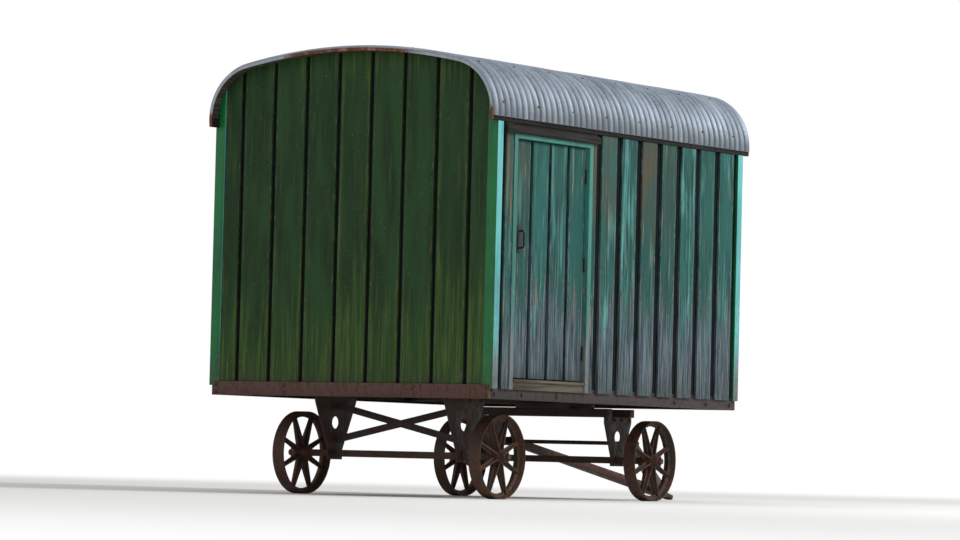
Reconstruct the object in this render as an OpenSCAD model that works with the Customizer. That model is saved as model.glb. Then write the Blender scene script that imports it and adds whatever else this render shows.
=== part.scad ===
// Shepherds hut: a boarded body with a curved, corrugated roof on a steel chassis with four cast wheels.
// X runs along the hut towards the drawbar, the door side faces -Y, and Z is up from the ground.

/* [Body] */
// Length over the end boards
body_l = 3400; // [3100:10:4000]
// Width over the side boards
body_w = 2430; // [2300:10:2600]
// Height of the chassis top above the ground
chassis_top = 800; // [780:5:950]
// Height of the roof sheets' lower edge above the chassis top
eave_h = 1865; // [1800:5:2100]
// Thickness of the framed wall panels behind the boards
wall_t = 60; // [55:1:80]
// Thickness of the floor
floor_t = 25; // [20:1:35]

/* [Boards] */
// Thickness of a wall board
board_t = 22; // [18:1:28]
// Distance from one seam between boards to the next
seam_pitch = 281; // [200:1:320]
// Width of the sunk seam between two boards
seam_w = 36; // [20:1:50]
// Gap between two boards on the long sides
side_seam_w = 76; // [30:1:100]
// How far the side boards hang below the chassis top
side_lap = 30; // [10:1:50]
// Width of a corner trim seen from the end
trim_end_w = 78; // [60:1:100]
// Width of a corner trim seen from the side
trim_side_w = 64; // [50:1:90]
// How far the corner trims stand in front of the boards
trim_proud = 6; // [2:1:8]

/* [Doorway] */
// Distance from the near end to the clear opening
door_from_end = 255; // [220:5:700]
// Clear width between the jambs
door_w = 950; // [800:5:1050]
// Drop from the roof sheets' lower edge to the head of the opening
door_drop = 135; // [135:5:250]
// Width of the door casing
casing_w = 45; // [40:1:70]
// How far the casing stands in front of the boards
casing_proud = 8; // [4:1:15]
// Thickness of a jamb
jamb_t = 30; // [22:1:35]
// Height of the casing over the door
casing_head_h = 32; // [25:1:40]
// Height of the drip cap over the door
cap_h = 68; // [50:1:68]
// How far the drip cap stands in front of the boards
cap_out = 34; // [20:1:40]
// Thickness of the door sill
sill_t = 20; // [18:1:30]

/* [Door leaf] */
// Clearance round the leaf
leaf_gap = 8; // [8:1:12]
// Thickness of the leaf's backing
leaf_back_t = 16; // [12:1:17]
// Number of boards on the leaf
leaf_boards_n = 4; // [3:1:6]
// Width of a ledge or brace inside the leaf
ledge_w = 100; // [70:5:120]
// Thickness of a ledge or brace
ledge_t = 20; // [15:1:25]
// Height of the handle above the floor
handle_h = 1000; // [850:10:1150]

/* [Hinges] */
// Height of a hinge
hinge_h = 100; // [80:5:120]
// Radius of a hinge pin
hinge_pin_r = 4; // [3:0.5:4]
// Radius of a hinge knuckle
knuckle_r = 6.5; // [6:0.5:6.5]

/* [Roof] */
// Rise of the roof line from the springing to the crown
roof_rise = 476; // [450:2:600]
// Radius of the roof's shoulders
shoulder_r = 385; // [250:5:400]
// How far the roof line stands outside the side boards
roof_out = 9; // [4:1:20]
// Length of the straight tail of the sheets below the springing
sheet_tail = 30; // [15:1:60]
// How far the sheets reach past each end wall, before rounding to whole waves
verge = 86; // [60:2:160]
// Thickness of the roof boards
roof_board_t = 20; // [15:1:25]
// Depth of a roof bow
bow_depth = 45; // [35:1:60]
// Width of a roof bow
bow_w = 45; // [35:1:60]
// Number of roof bows
bow_n = 5; // [3:1:7]
// Height of the eave fascia seen under the sheets
fascia_show = 30; // [20:1:50]
// Thickness of the steel edge trim at each end of the roof
edge_trim_t = 6; // [4:1:8]

/* [Corrugated sheets] */
// Pitch of the corrugations
wave_pitch = 76; // [60:1:90]
// Depth of the corrugations
wave_depth = 18; // [14:1:22]
// Thickness of the sheet metal
sheet_t = 1.5; // [1:0.1:2]
// Corrugations covered by one sheet
sheet_waves = 8; // [6:1:12]

/* [Chassis] */
// Height of the chassis rails
rail_h = 100; // [90:5:120]
// Width of the rail flanges
rail_flange = 50; // [40:1:60]
// Thickness of the rail steel
rail_t = 6; // [5:0.5:10]
// How far the end rails stand in front of the end boards
end_rail_proud = 10; // [6:1:20]
// Height of the cross members
cross_h = 80; // [60:5:85]
// Distance from each end of the body to its axle
axle_from_end = 650; // [550:10:800]
// Distance from an axle to the cross members on its two sides
cross_off = 230; // [200:5:260]

/* [Wheels and axles] */
// Radius of a wheel
wheel_r = 300; // [260:5:300]
// Width of a wheel rim
rim_w = 100; // [80:2:120]
// Distance between the middles of the left and right wheels
track = 1700; // [1600:10:1900]
// Length of a wheel hub
hub_l = 150; // [130:2:170]
// Radius of the axle's round journal
journal_r = 22; // [18:1:25]
// Side of the square axle
axle_side = 50; // [45:1:60]
// Number of spokes in a wheel
spoke_n = 8; // [6:1:12]

/* [Carriage and drawbar] */
// Distance between the middles of the two axle stands
stand_gap = 1120; // [1000:10:1200]
// Thickness of an axle stand
stand_t = 12; // [8:1:16]
// Side of the steering beams
beam_side = 60; // [50:2:60]
// Thickness of each turntable ring
ring_t = 18; // [14:1:20]
// Outer radius of the turntable rings
ring_r = 300; // [280:5:320]
// Width of the turntable rings
ring_w = 50; // [40:1:60]
// Radius of the king pin
king_r = 20; // [15:1:25]
// Length of the drawbar from its pivot to the tow eye
drawbar_l = 1500; // [1300:10:1700]
// Height of the drawbar's pivot above the axle
pivot_up = 130; // [110:5:150]
// Radius of the drawbar's pivot rod
pivot_r = 15; // [12:1:18]
// Radius of the tow eye's hole
eye_r = 20; // [16:1:25]
// Radius of the tow eye's outside
eye_out_r = 45; // [40:1:55]
// Thickness of the tow eye
eye_t = 30; // [24:1:36]

/* [Hidden] */
$fn = 96;
round_fn = 360;
// Clearance between pieces that follow the same curve
fit = 0.3;
// Running clearance of a pin or journal in its hole
run = 0.1;
// Slack between neighbouring boards and trims
joint = 2;
// Overlap of cutting shapes past the faces that they cut
over = 1;

// Heights
z_floor = chassis_top + floor_t;
z_sheet = chassis_top + eave_h;
z_board_top = z_sheet - fascia_show;
z_spring = z_sheet + sheet_tail;
z_head = z_sheet - door_drop;
z_rail = chassis_top - rail_h;
z_cross = chassis_top - cross_h;
z_lap = chassis_top - side_lap;

// Half lengths and half widths, from the boards inwards
end_x = body_l / 2;
core_x = end_x - board_t;
inner_x = core_x - wall_t;
side_y = body_w / 2;
core_y = side_y - board_t;
inner_y = core_y - wall_t;

// The roof line is a three-centred arch: two shoulders and a flatter crown
half_span = side_y + roof_out;
shoulder_y = half_span - shoulder_r;
crown_half = round(200 * atan((roof_rise - shoulder_r) / shoulder_y)) / 100;
centre_gap = shoulder_y / sin(crown_half);
crown_r = shoulder_r + centre_gap;
z_crown_centre = z_spring - centre_gap * cos(crown_half);
shoulder_steps = 26;
crown_steps = 26;
wave_n = round((body_l + 2 * verge) / wave_pitch);
roof_l = wave_n * wave_pitch;
roof_boards_l = roof_l - 2 * edge_trim_t;
wave_steps = 6;

// Doorway, measured along X from the middle of the body
door_x0 = door_from_end - end_x;
door_x1 = door_x0 + door_w;
leaf_x0 = door_x0 + leaf_gap;
leaf_x1 = door_x1 - leaf_gap;
z_sill = z_floor + sill_t;
z_leaf = z_sill + leaf_gap;
leaf_h = z_head - leaf_gap - z_leaf;
casing_y = side_y + casing_proud;
leaf_set = 3;
leaf_face_y = core_y - leaf_set;
leaf_back_y = leaf_face_y - board_t - leaf_back_t;
stop_gap = 5;
stop_w = 12;
sill_nose = 10;
min_board_w = 12;
near_seam = trim_side_w + seam_w / 2;
far_seam = body_l - near_seam;
cap_past_near = 130;
cap_past_far = 60;

// Hinge line, just in front of the leaf and beside the right jamb
knuckle_gap = 0.5;
knuckle_h = 0.3 * hinge_h;
hinge_x = door_x1 - knuckle_r;
hinge_y = leaf_face_y + knuckle_r + knuckle_gap;
plate_t = 2.5;
plate_w = 42;
hinge_end_h = 150;
hinge_zs = [z_leaf + hinge_end_h, z_leaf + (leaf_h - hinge_h) / 2, z_leaf + leaf_h - hinge_end_h - hinge_h];

// Axles and carriage
axle_x = end_x - axle_from_end;
z_axle_top = wheel_r + axle_side / 2;
z_ring_mid = z_cross - ring_t;
z_beam_top = z_ring_mid - ring_t;
z_beam = z_beam_top - beam_side;
beam_off = 160;
stand_foot = 45;

// Drawbar: it slopes down from its pivot until the tow eye lies on the ground
pivot_out = 250;
shank_l = 40;
pivot_x = axle_x + pivot_out;
nose_x = drawbar_l - eye_out_r - shank_l;
z_pivot = wheel_r + pivot_up;
drawbar_reach = drawbar_l + eye_out_r;
drop = asin(z_pivot / norm([drawbar_reach, eye_t / 2])) - atan2(eye_t / 2, drawbar_reach);
tip_x = pivot_x + drawbar_reach * cos(drop) + eye_t / 2 * sin(drop);

// The origin is on the ground under the middle of the whole length, drawbar included
shift_x = (roof_l / 2 - tip_x) / 2;

dark_green = "#2c4a34";
teal = "#3d6f66";
wood = "#9a8464";
steel = "#4a4a48";
rust = "#6b4437";
galvanised = "#a9b0b4";
iron = "#3a3632";

// Boards that fill the stretch from a to b, cut by gaps that repeat from the middle of a first one
function boards(a, b, first, gap) = [
    for (k = [floor((a - first) / seam_pitch) : ceil((b - first) / seam_pitch)])
    let (lo = max(a, first + k * seam_pitch + gap / 2))
    let (hi = min(b, first + (k + 1) * seam_pitch - gap / 2))
    if (hi - lo > min_board_w) [lo, hi]
];

// A box given by its lowest and highest corners
module block(lo, hi) {
    translate(lo)
        cube(hi - lo);
}

module place() {
    translate([shift_x, 0, 0])
        children();
}

module both_sides() {
    children();
    mirror([0, 1, 0])
        children();
}

module both_ends() {
    children();
    mirror([1, 0, 0])
        children();
}

// Turns a flat shape drawn in Y and Z so that it is extruded along X
module along_x(length) {
    translate([-length / 2, 0, 0])
        rotate([90, 0, 90])
            linear_extrude(length)
                children();
}

// Moves in ever finer steps, because an export keeps only the first six figures of each number
module move_finely(v) {
    whole = [for (x = v) round(x)];
    part = [for (i = [0 : 2]) round(1000 * (v[i] - whole[i])) / 1000];
    translate(whole)
        translate(part)
            translate(v - whole - part)
                children();
}

// Sweeps a shape, drawn as distance outside the roof line against place along X, over the crown
module over_crown() {
    move_finely([0, 0, z_crown_centre])
        rotate([90, 0, 90])
            rotate_extrude(angle = 2 * crown_half, start = 90 - crown_half, $fn = round_fn)
                move_finely([crown_r, 0, 0])
                    children();
}

// The same over the back shoulder
module over_shoulder() {
    translate([0, shoulder_y, z_spring])
        rotate([90, 0, 90])
            rotate_extrude(angle = 90 - crown_half, $fn = round_fn)
                translate([shoulder_r, 0])
                    children();
}

// The same down the straight tail below the back springing
module down_tail(length) {
    translate([0, half_span, z_spring - length])
        rotate([0, 0, 90])
            mirror([0, 1, 0])
                linear_extrude(length)
                    children();
}

module whole_arch(tail) {
    over_crown()
        children();
    both_sides() {
        over_shoulder()
            children();
        down_tail(tail)
            children();
    }
}

// Points on an arc in Y and Z, at steps a to b out of n from one angle to another
function arc_points(centre, r, from, to, n, a, b) = [
    for (i = [a : b])
    let (angle = from + i * (to - from) / n)
    centre + r * [cos(angle), sin(angle)]
];

// The flat outline of everything under the roof line, moved inwards by a distance, in Y and Z
module under_arch(inwards) {
    r = shoulder_r - inwards;
    edge_y = half_span - inwards;
    joint_a = 90 - crown_half;
    polygon(concat(
        [[-edge_y, chassis_top], [edge_y, chassis_top]],
        arc_points([shoulder_y, z_spring], r, 0, joint_a, shoulder_steps, 0, shoulder_steps),
        arc_points([0, z_crown_centre], crown_r - inwards, joint_a, 180 - joint_a,
            crown_steps, 1, crown_steps - 1),
        arc_points([-shoulder_y, z_spring], r, 180 - joint_a, 180, shoulder_steps, 0, shoulder_steps)
    ));
}

// Channel section with its web on the left and its flanges to the right, from the origin up
module channel(height, flange, t) {
    difference() {
        square([flange, height]);
        translate([t, t])
            square([flange, height - 2 * t]);
    }
}

module end_rail() {
    color(rust)
        translate([-end_x - end_rail_proud, 0, z_rail])
            rotate([90, 0, 0])
                linear_extrude(2 * core_y, center = true)
                    channel(rail_h, rail_flange, rail_t);
}

module near_end_rail() {
    place()
        end_rail();
}

module far_end_rail() {
    place()
        mirror([1, 0, 0])
            end_rail();
}

module side_rail() {
    rail_l = 2 * (end_x + end_rail_proud - rail_flange);
    color(steel)
        translate([0, -core_y, z_rail])
            along_x(rail_l)
                channel(rail_h, rail_flange, rail_t);
}

module front_side_rail() {
    place()
        side_rail();
}

module back_side_rail() {
    place()
        mirror([0, 1, 0])
            side_rail();
}

// A channel across the chassis, with its top flange coped to fit under the side rails' flanges
module cross_member() {
    web_y = core_y - rail_t;
    tip_y = core_y - rail_flange;
    difference() {
        translate([0, 0, z_cross])
            rotate([90, 0, 0])
                linear_extrude(2 * web_y, center = true)
                    channel(cross_h, rail_flange, rail_t);
        both_sides()
            block([-over, tip_y, chassis_top - rail_t],
                [rail_flange + over, web_y + over, chassis_top + over]);
    }
}

module cross_members() {
    color(steel)
        place()
            both_ends()
                for (off = [-1, 1])
                    translate([axle_x + off * cross_off - rail_flange / 2, 0, 0])
                        cross_member();
}

module floor() {
    color(wood)
        place()
            block([-core_x, -core_y, chassis_top], [core_x, core_y, z_floor]);
}

// Square axle with a round journal, washer and pin at each end, along Y through the wheel centres
module axle() {
    shoulder = (track - hub_l) / 2;
    outer = (track + hub_l) / 2;
    washer_t = 8;
    washer_r = 36;
    nib = 24;
    pin_r = 5;
    color(iron) {
        translate([0, 0, wheel_r])
            cube([axle_side, 2 * shoulder, axle_side], center = true);
        both_sides()
            translate([0, shoulder, wheel_r])
                rotate([-90, 0, 0]) {
                    cylinder(h = hub_l + washer_t + nib, r = journal_r);
                    translate([0, 0, hub_l])
                        cylinder(h = washer_t, r = washer_r);
                }
        both_sides()
            translate([0, outer + washer_t + nib / 2, wheel_r - washer_r])
                cylinder(h = 2 * washer_r, r = pin_r);
    }
}

module near_axle() {
    place()
        translate([-axle_x, 0, 0])
            axle();
}

module far_axle() {
    place()
        translate([axle_x, 0, 0])
            axle();
}

// A pair of plates that straddle the square axle, drawn in X and Z round the axle's middle
module stand_plates(top, top_half, lug) {
    hole_r = 45;
    both_sides()
        translate([0, stand_gap / 2 + stand_t / 2, 0])
            rotate([90, 0, 0])
                linear_extrude(stand_t)
                    difference() {
                        union() {
                            polygon([
                                [-2 * stand_foot, wheel_r - stand_foot],
                                [2 * stand_foot, wheel_r - stand_foot],
                                [2 * stand_foot, z_axle_top],
                                [top_half, top - stand_foot],
                                [top_half, top],
                                [-top_half, top],
                                [-top_half, top - stand_foot],
                                [-2 * stand_foot, z_axle_top]
                            ]);
                            if (lug)
                                drawbar_lug();
                        }
                        translate([-axle_side / 2, wheel_r - axle_side / 2])
                            square(axle_side);
                        translate([0, (z_axle_top + top) / 2])
                            circle(hole_r);
                        if (lug)
                            translate([pivot_x - axle_x, z_pivot])
                                circle(pivot_r + run);
                    }
}

// Nose of a front stand that carries the drawbar's pivot rod
module drawbar_lug() {
    lug_r = 2.2 * pivot_r;
    translate([pivot_x - axle_x, z_pivot])
        circle(lug_r);
    translate([0, z_pivot - lug_r])
        square([pivot_x - axle_x, 2 * lug_r]);
}

// Two flat bars that cross between the stands
module stand_brace() {
    bar_w = 50;
    bar_t = 8;
    span = stand_gap - stand_t;
    rise = z_cross - z_axle_top - 3 * bar_w;
    tilt = atan2(rise, span);
    bar_l = norm([rise, span]);
    intersection() {
        for (side = [-1, 1])
            translate([axle_side / 2, 0, (z_axle_top + z_cross) / 2])
                rotate([side * tilt, 0, 0])
                    cube([bar_t, bar_l + bar_w, bar_w], center = true);
        block([0, -span / 2, 0], [axle_side, span / 2, z_cross]);
    }
}

module near_axle_stands() {
    color(steel)
        place()
            translate([-axle_x, 0, 0]) {
                stand_plates(z_cross, cross_off + rail_flange / 2, false);
                stand_brace();
            }
}

// Flat ring with a bar across it that holds the king pin
module ring(bar_l) {
    difference() {
        cylinder(h = ring_t, r = ring_r);
        translate([0, 0, -over])
            cylinder(h = ring_t + 2 * over, r = ring_r - ring_w);
    }
    translate([-ring_w, -bar_l / 2, 0])
        cube([2 * ring_w, bar_l, ring_t]);
}

module fore_carriage() {
    color(steel)
        place()
            translate([axle_x, 0, 0]) {
                stand_plates(z_beam, beam_off + beam_side / 2, true);
                for (side = [-1, 1])
                    translate([side * beam_off - beam_side / 2, -(stand_gap + beam_side) / 2, z_beam])
                        cube([beam_side, stand_gap + beam_side, beam_side]);
                difference() {
                    translate([0, 0, z_beam_top])
                        ring(2 * (ring_r - ring_w / 2));
                    translate([0, 0, z_beam_top - over])
                        cylinder(h = ring_t + 2 * over, r = king_r + run);
                }
            }
}

// Upper ring under the far cross members, with the king pin that hangs from it
module turntable_ring() {
    nut_r = 34;
    nut_h = 24;
    color(steel)
        place()
            translate([axle_x, 0, 0]) {
                translate([0, 0, z_ring_mid])
                    ring(2 * (ring_r - ring_w / 2));
                translate([0, 0, z_beam_top - nut_h])
                    cylinder(h = ring_t + nut_h + over, r = king_r);
                translate([0, 0, z_beam_top - nut_h])
                    cylinder(h = nut_h, r = nut_r, $fn = 6);
            }
}

// Cast wheel with its axis along Y: a T-section rim, a stepped hub and cross-section spokes
module cast_wheel() {
    edge_t = 8;
    tread_t = 12;
    fillet = 7;
    web_in = 40;
    web_half = 7;
    hub_r = 52;
    hub_end_r = 40;
    neck = 14;
    collar_r = 58;
    collar_half = 14;
    barrel_half = 36;
    bevel = 4;
    tip_r = wheel_r - tread_t - fillet;
    color(iron)
        difference() {
            rotate([90, 0, 0]) {
                rotate_extrude()
                    polygon([
                        [wheel_r, -rim_w / 2],
                        [wheel_r, rim_w / 2],
                        [wheel_r - edge_t, rim_w / 2],
                        [wheel_r - tread_t, web_half + fillet],
                        [wheel_r - tread_t - fillet, web_half],
                        [wheel_r - web_in, web_half],
                        [wheel_r - web_in, -web_half],
                        [wheel_r - tread_t - fillet, -web_half],
                        [wheel_r - tread_t, -web_half - fillet],
                        [wheel_r - edge_t, -rim_w / 2]
                    ]);
                rotate_extrude()
                    polygon([
                        [0, -hub_l / 2],
                        [hub_end_r, -hub_l / 2],
                        [hub_end_r, neck - hub_l / 2],
                        [hub_r, -barrel_half],
                        [hub_r, -collar_half],
                        [collar_r, bevel - collar_half],
                        [collar_r, collar_half - bevel],
                        [hub_r, collar_half],
                        [hub_r, barrel_half],
                        [hub_end_r, hub_l / 2 - neck],
                        [hub_end_r, hub_l / 2],
                        [0, hub_l / 2]
                    ]);
                for (i = [0 : spoke_n - 1])
                    rotate([0, 0, (i + 0.5) * 360 / spoke_n])
                        spoke(hub_end_r, tip_r);
            }
            rotate([90, 0, 0])
                cylinder(h = hub_l + 2 * over, r = journal_r + run, center = true);
        }
}

// Tapered spoke with a cross section, along X from the hub to the rim
module spoke(root_r, tip_r) {
    root_w = 46;
    tip_w = 30;
    flat_t = 12;
    rib_root = 78;
    rib_tip = 36;
    rib_t = 11;
    linear_extrude(flat_t, center = true)
        polygon([
            [root_r, -root_w / 2],
            [tip_r, -tip_w / 2],
            [tip_r, tip_w / 2],
            [root_r, root_w / 2]
        ]);
    rotate([90, 0, 0])
        linear_extrude(rib_t, center = true)
            polygon([
                [root_r, -rib_root / 2],
                [tip_r, -rib_tip / 2],
                [tip_r, rib_tip / 2],
                [root_r, rib_root / 2]
            ]);
}

module wheel_at(x, y) {
    place()
        translate([x, y, wheel_r])
            cast_wheel();
}

module wheel_near_front() {
    wheel_at(-axle_x, -track / 2);
}

module wheel_near_back() {
    wheel_at(-axle_x, track / 2);
}

module wheel_far_front() {
    wheel_at(axle_x, -track / 2);
}

module wheel_far_back() {
    wheel_at(axle_x, track / 2);
}

// Puts what is drawn along X from the drawbar's pivot into its sloping place
module on_drawbar() {
    place()
        translate([pivot_x, 0, z_pivot])
            rotate([0, drop, 0])
                children();
}

// Two bars that run together at the nose, on a rod through the front stands
module drawbar() {
    bar_h = 60;
    bar_w = 50;
    tail = 35;
    nose_l = 160;
    out_y = stand_gap / 2 - stand_t / 2 - joint;
    in_y = out_y - bar_w;
    rod_l = stand_gap + stand_t + 60;
    washer_r = 24;
    washer_t = 6;
    color(iron)
        on_drawbar() {
            linear_extrude(bar_h, center = true)
                polygon([
                    [-tail, -in_y],
                    [tail, -in_y],
                    [nose_x - nose_l, 0],
                    [tail, in_y],
                    [-tail, in_y],
                    [-tail, out_y],
                    [tail, out_y],
                    [nose_x, bar_w],
                    [nose_x, -bar_w],
                    [tail, -out_y],
                    [-tail, -out_y]
                ]);
            rotate([90, 0, 0])
                cylinder(h = rod_l, r = pivot_r, center = true);
            both_sides()
                translate([0, stand_gap / 2 + stand_t / 2, 0])
                    rotate([-90, 0, 0])
                        cylinder(h = washer_t, r = washer_r);
        }
}

// Forged eye with a flat shank on the drawbar's nose
module tow_eye() {
    shank_w = 80;
    color(iron)
        on_drawbar()
            difference() {
                union() {
                    translate([drawbar_l, 0, 0])
                        cylinder(h = eye_t, r = eye_out_r, center = true);
                    block([nose_x, -shank_w / 2, -eye_t / 2], [drawbar_l, shank_w / 2, eye_t / 2]);
                }
                translate([drawbar_l, 0, 0])
                    cylinder(h = eye_t + 2 * over, r = eye_r, center = true);
            }
}

module end_wall() {
    color(wood)
        translate([-core_x + wall_t / 2, 0, 0])
            along_x(wall_t)
                intersection() {
                    under_arch(roof_board_t + fit);
                    translate([-core_y, z_floor])
                        square([2 * core_y, 2 * eave_h]);
                }
}

module near_end_wall() {
    place()
        end_wall();
}

module far_end_wall() {
    place()
        mirror([1, 0, 0])
            end_wall();
}

// Upright boards whose tops follow the roof, with sunk seams between them
module end_boards() {
    edge_y = side_y - trim_end_w - joint;
    color(dark_green)
        translate([-end_x + board_t / 2, 0, 0])
            along_x(board_t)
                intersection() {
                    under_arch(roof_board_t + fit);
                    for (b = boards(-edge_y, edge_y, seam_pitch / 2, seam_w))
                        translate([b[0], chassis_top])
                            square([b[1] - b[0], 2 * eave_h]);
                }
}

module near_end_boards() {
    place()
        end_boards();
}

module far_end_boards() {
    place()
        mirror([1, 0, 0])
            end_boards();
}

// Upright boards of a side wall between two places measured from the near end
module side_boards(a, b, first_seam) {
    color(teal)
        for (s = boards(a, b, first_seam, side_seam_w))
            block([s[0] - end_x, -side_y, z_lap], [s[1] - end_x, -core_y, z_board_top]);
}

module back_wall() {
    color(wood)
        place()
            block([-inner_x, inner_y, z_floor], [inner_x, core_y, z_spring]);
}

module back_boards() {
    place()
        mirror([0, 1, 0])
            side_boards(trim_side_w + seam_w, body_l - trim_side_w - seam_w, far_seam);
}

module front_wall_near() {
    color(wood)
        place()
            block([-inner_x, -core_y, z_floor], [door_x0 - jamb_t, -inner_y, z_spring]);
}

module front_wall_far() {
    color(wood)
        place()
            block([door_x1 + jamb_t, -core_y, z_floor], [inner_x, -inner_y, z_spring]);
}

module front_wall_head() {
    color(wood)
        place()
            block([door_x0 - jamb_t, -core_y, z_head + jamb_t],
                [door_x1 + jamb_t, -inner_y, z_spring]);
}

module front_boards_near() {
    place()
        side_boards(trim_side_w + seam_w, door_from_end - casing_w - joint, near_seam);
}

module front_boards_far() {
    place()
        side_boards(door_from_end + door_w + casing_w + joint, body_l - trim_side_w - seam_w, far_seam);
}

// Angle-shaped trims on the two corners of one end, notched round the eave fascia
module corner_trims() {
    out_x = end_x + trim_proud;
    out_y = side_y + trim_proud;
    color(teal)
        both_sides() {
            block([-out_x, -out_y, chassis_top], [-core_x, trim_end_w - side_y, z_board_top]);
            block([-out_x, -out_y, z_lap], [-end_x + trim_side_w, -core_y, z_board_top]);
            translate([-(out_x + core_x) / 2, 0, 0])
                along_x(out_x - core_x)
                    intersection() {
                        under_arch(roof_board_t + fit);
                        translate([-core_y, chassis_top])
                            square([core_y - side_y + trim_end_w, 2 * eave_h]);
                    }
        }
}

module near_corner_trims() {
    place()
        corner_trims();
}

module far_corner_trims() {
    place()
        mirror([1, 0, 0])
            corner_trims();
}

// Jambs and head in the wall, stops inside them, and the casing in front
module door_frame() {
    stop_y = leaf_back_y - stop_gap;
    color(teal)
        place()
            difference() {
                union() {
                    block([door_x0 - jamb_t, -core_y, z_floor],
                        [door_x1 + jamb_t, -inner_y, z_head + jamb_t]);
                    block([door_x0 - casing_w, -casing_y, z_lap],
                        [door_x1 + casing_w, -core_y, z_head + casing_head_h]);
                }
                block([door_x0, -casing_y - over, z_lap - over], [door_x1, -stop_y, z_head]);
                block([door_x0, -casing_y - over, z_lap - over], [door_x1, over - inner_y, z_sill]);
                block([door_x0 + stop_w, -stop_y - over, z_lap - over],
                    [door_x1 - stop_w, -inner_y + over, z_head - stop_w]);
            }
}

// Sloped weather board over the door, with a filling piece behind it
module drip_cap() {
    cap_x0 = max(near_seam - end_x, door_x0 - casing_w - cap_past_near);
    cap_x1 = door_x1 + casing_w + cap_past_far;
    z_cap = z_head + casing_head_h;
    front_h = 0.65 * cap_h;
    color(steel)
        place() {
            translate([(cap_x0 + cap_x1) / 2, 0, z_cap])
                along_x(cap_x1 - cap_x0)
                    polygon([
                        [-side_y, 0],
                        [-side_y, cap_h],
                        [-side_y - cap_out, front_h],
                        [-side_y - cap_out, 0]
                    ]);
            block([door_x0 - casing_w, -side_y, z_cap], [door_x1 + casing_w, -core_y, z_board_top]);
        }
}

// Sill between the jambs, with an apron that covers the edge of the floor
module door_sill() {
    color(wood)
        place() {
            block([door_x0, -casing_y - sill_nose, z_floor], [door_x1, -inner_y, z_sill]);
            block([door_x0, -side_y, z_lap], [door_x1, -core_y, z_floor]);
        }
}

// Backing of the leaf, let in at the hinge edge for the hinge plates
module door_leaf() {
    color(teal)
        place()
            difference() {
                block([leaf_x0, -leaf_back_y - leaf_back_t, z_leaf], [leaf_x1, -leaf_back_y, z_leaf + leaf_h]);
                hinge_pockets();
            }
}

module hinge_pockets() {
    for (z = hinge_zs)
        block([leaf_x1 - plate_t, -hinge_y, z], [leaf_x1 + over, plate_w - hinge_y, z + hinge_h]);
}

// Upright boards on the leaf's face
module door_boards() {
    leaf_w = leaf_x1 - leaf_x0;
    w = (leaf_w - (leaf_boards_n - 1) * seam_w) / leaf_boards_n;
    color(teal)
        place()
            difference() {
                for (i = [0 : leaf_boards_n - 1])
                    translate([leaf_x0 + i * (w + seam_w), -leaf_face_y, z_leaf])
                        cube([w, board_t, leaf_h]);
                hinge_pockets();
            }
}

// Three ledges and two slanting braces on the inside of the leaf
module door_bracing() {
    inset = stop_w + stop_gap + leaf_gap;
    x0 = leaf_x0 + inset;
    x1 = leaf_x1 - inset;
    end_gap = 120;
    first_z = z_leaf + end_gap;
    step_z = (leaf_h - 2 * end_gap - ledge_w) / 2;
    color(wood)
        place()
            translate([0, ledge_t - leaf_back_y, 0])
                rotate([90, 0, 0])
                    linear_extrude(ledge_t) {
                        for (i = [0 : 2])
                            translate([x0, first_z + i * step_z])
                                square([x1 - x0, ledge_w]);
                        for (i = [0 : 1])
                            polygon([
                                [x1, first_z + i * step_z + ledge_w],
                                [x0 + ledge_w, first_z + (i + 1) * step_z],
                                [x0, first_z + (i + 1) * step_z],
                                [x1 - ledge_w, first_z + i * step_z + ledge_w]
                            ]);
                    }
}

// Bow handle on a back plate
module door_handle() {
    plate = [45, 4, 190];
    bar_r = 7;
    bend_r = 22;
    bar_h = 120;
    reach = 44;
    edge_gap = 75;
    color(iron)
        place()
            translate([leaf_x0 + edge_gap, -leaf_face_y, z_floor + handle_h]) {
                translate([-plate[0] / 2, -plate[1], -plate[2] / 2])
                    cube(plate);
                translate([0, -reach, -bar_h / 2 + bend_r])
                    cylinder(h = bar_h - 2 * bend_r, r = bar_r);
                for (up = [0, 1])
                    mirror([0, 0, up])
                        translate([0, bend_r - reach, bar_h / 2 - bend_r])
                            rotate([90, 0, -90]) {
                                rotate_extrude(angle = 90)
                                    translate([bend_r, 0])
                                        circle(bar_r);
                                translate([0, bend_r, 0])
                                    rotate([0, -90, 0])
                                        cylinder(h = reach - bend_r - plate[1] / 2, r = bar_r);
                            }
            }
}

// Hinge halves on the jamb: a plate, an upper and a lower knuckle, and the pin
module hinge_jamb_halves() {
    color(iron)
        place()
            for (z = hinge_zs) {
                difference() {
                    union() {
                        block([door_x1 - plate_t, -hinge_y, z], [door_x1, plate_w - hinge_y, z + hinge_h]);
                        translate([hinge_x, -hinge_y, z])
                            cylinder(h = hinge_h, r = knuckle_r);
                    }
                    translate([hinge_x, -hinge_y, z + knuckle_h - knuckle_gap])
                        cylinder(h = hinge_h - 2 * knuckle_h + 2 * knuckle_gap, r = knuckle_r + over);
                }
                translate([hinge_x, -hinge_y, z])
                    cylinder(h = hinge_h, r = hinge_pin_r);
            }
}

// Hinge halves on the leaf: a plate and the middle knuckle, bored for the pin
module hinge_door_halves() {
    color(iron)
        place()
            for (z = hinge_zs)
                difference() {
                    union() {
                        block([leaf_x1 - plate_t, -hinge_y, z], [leaf_x1, plate_w - hinge_y, z + hinge_h]);
                        translate([hinge_x, -hinge_y, z + knuckle_h])
                            cylinder(h = hinge_h - 2 * knuckle_h, r = knuckle_r);
                    }
                    translate([hinge_x, -hinge_y, z - over])
                        cylinder(h = hinge_h + 2 * over, r = hinge_pin_r + run);
                    for (end = [0, 1])
                        translate([hinge_x, -hinge_y, z + end * (hinge_h - knuckle_h) - (1 - end) * over])
                            cylinder(h = knuckle_h + over, r = knuckle_r + over);
                }
}

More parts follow.
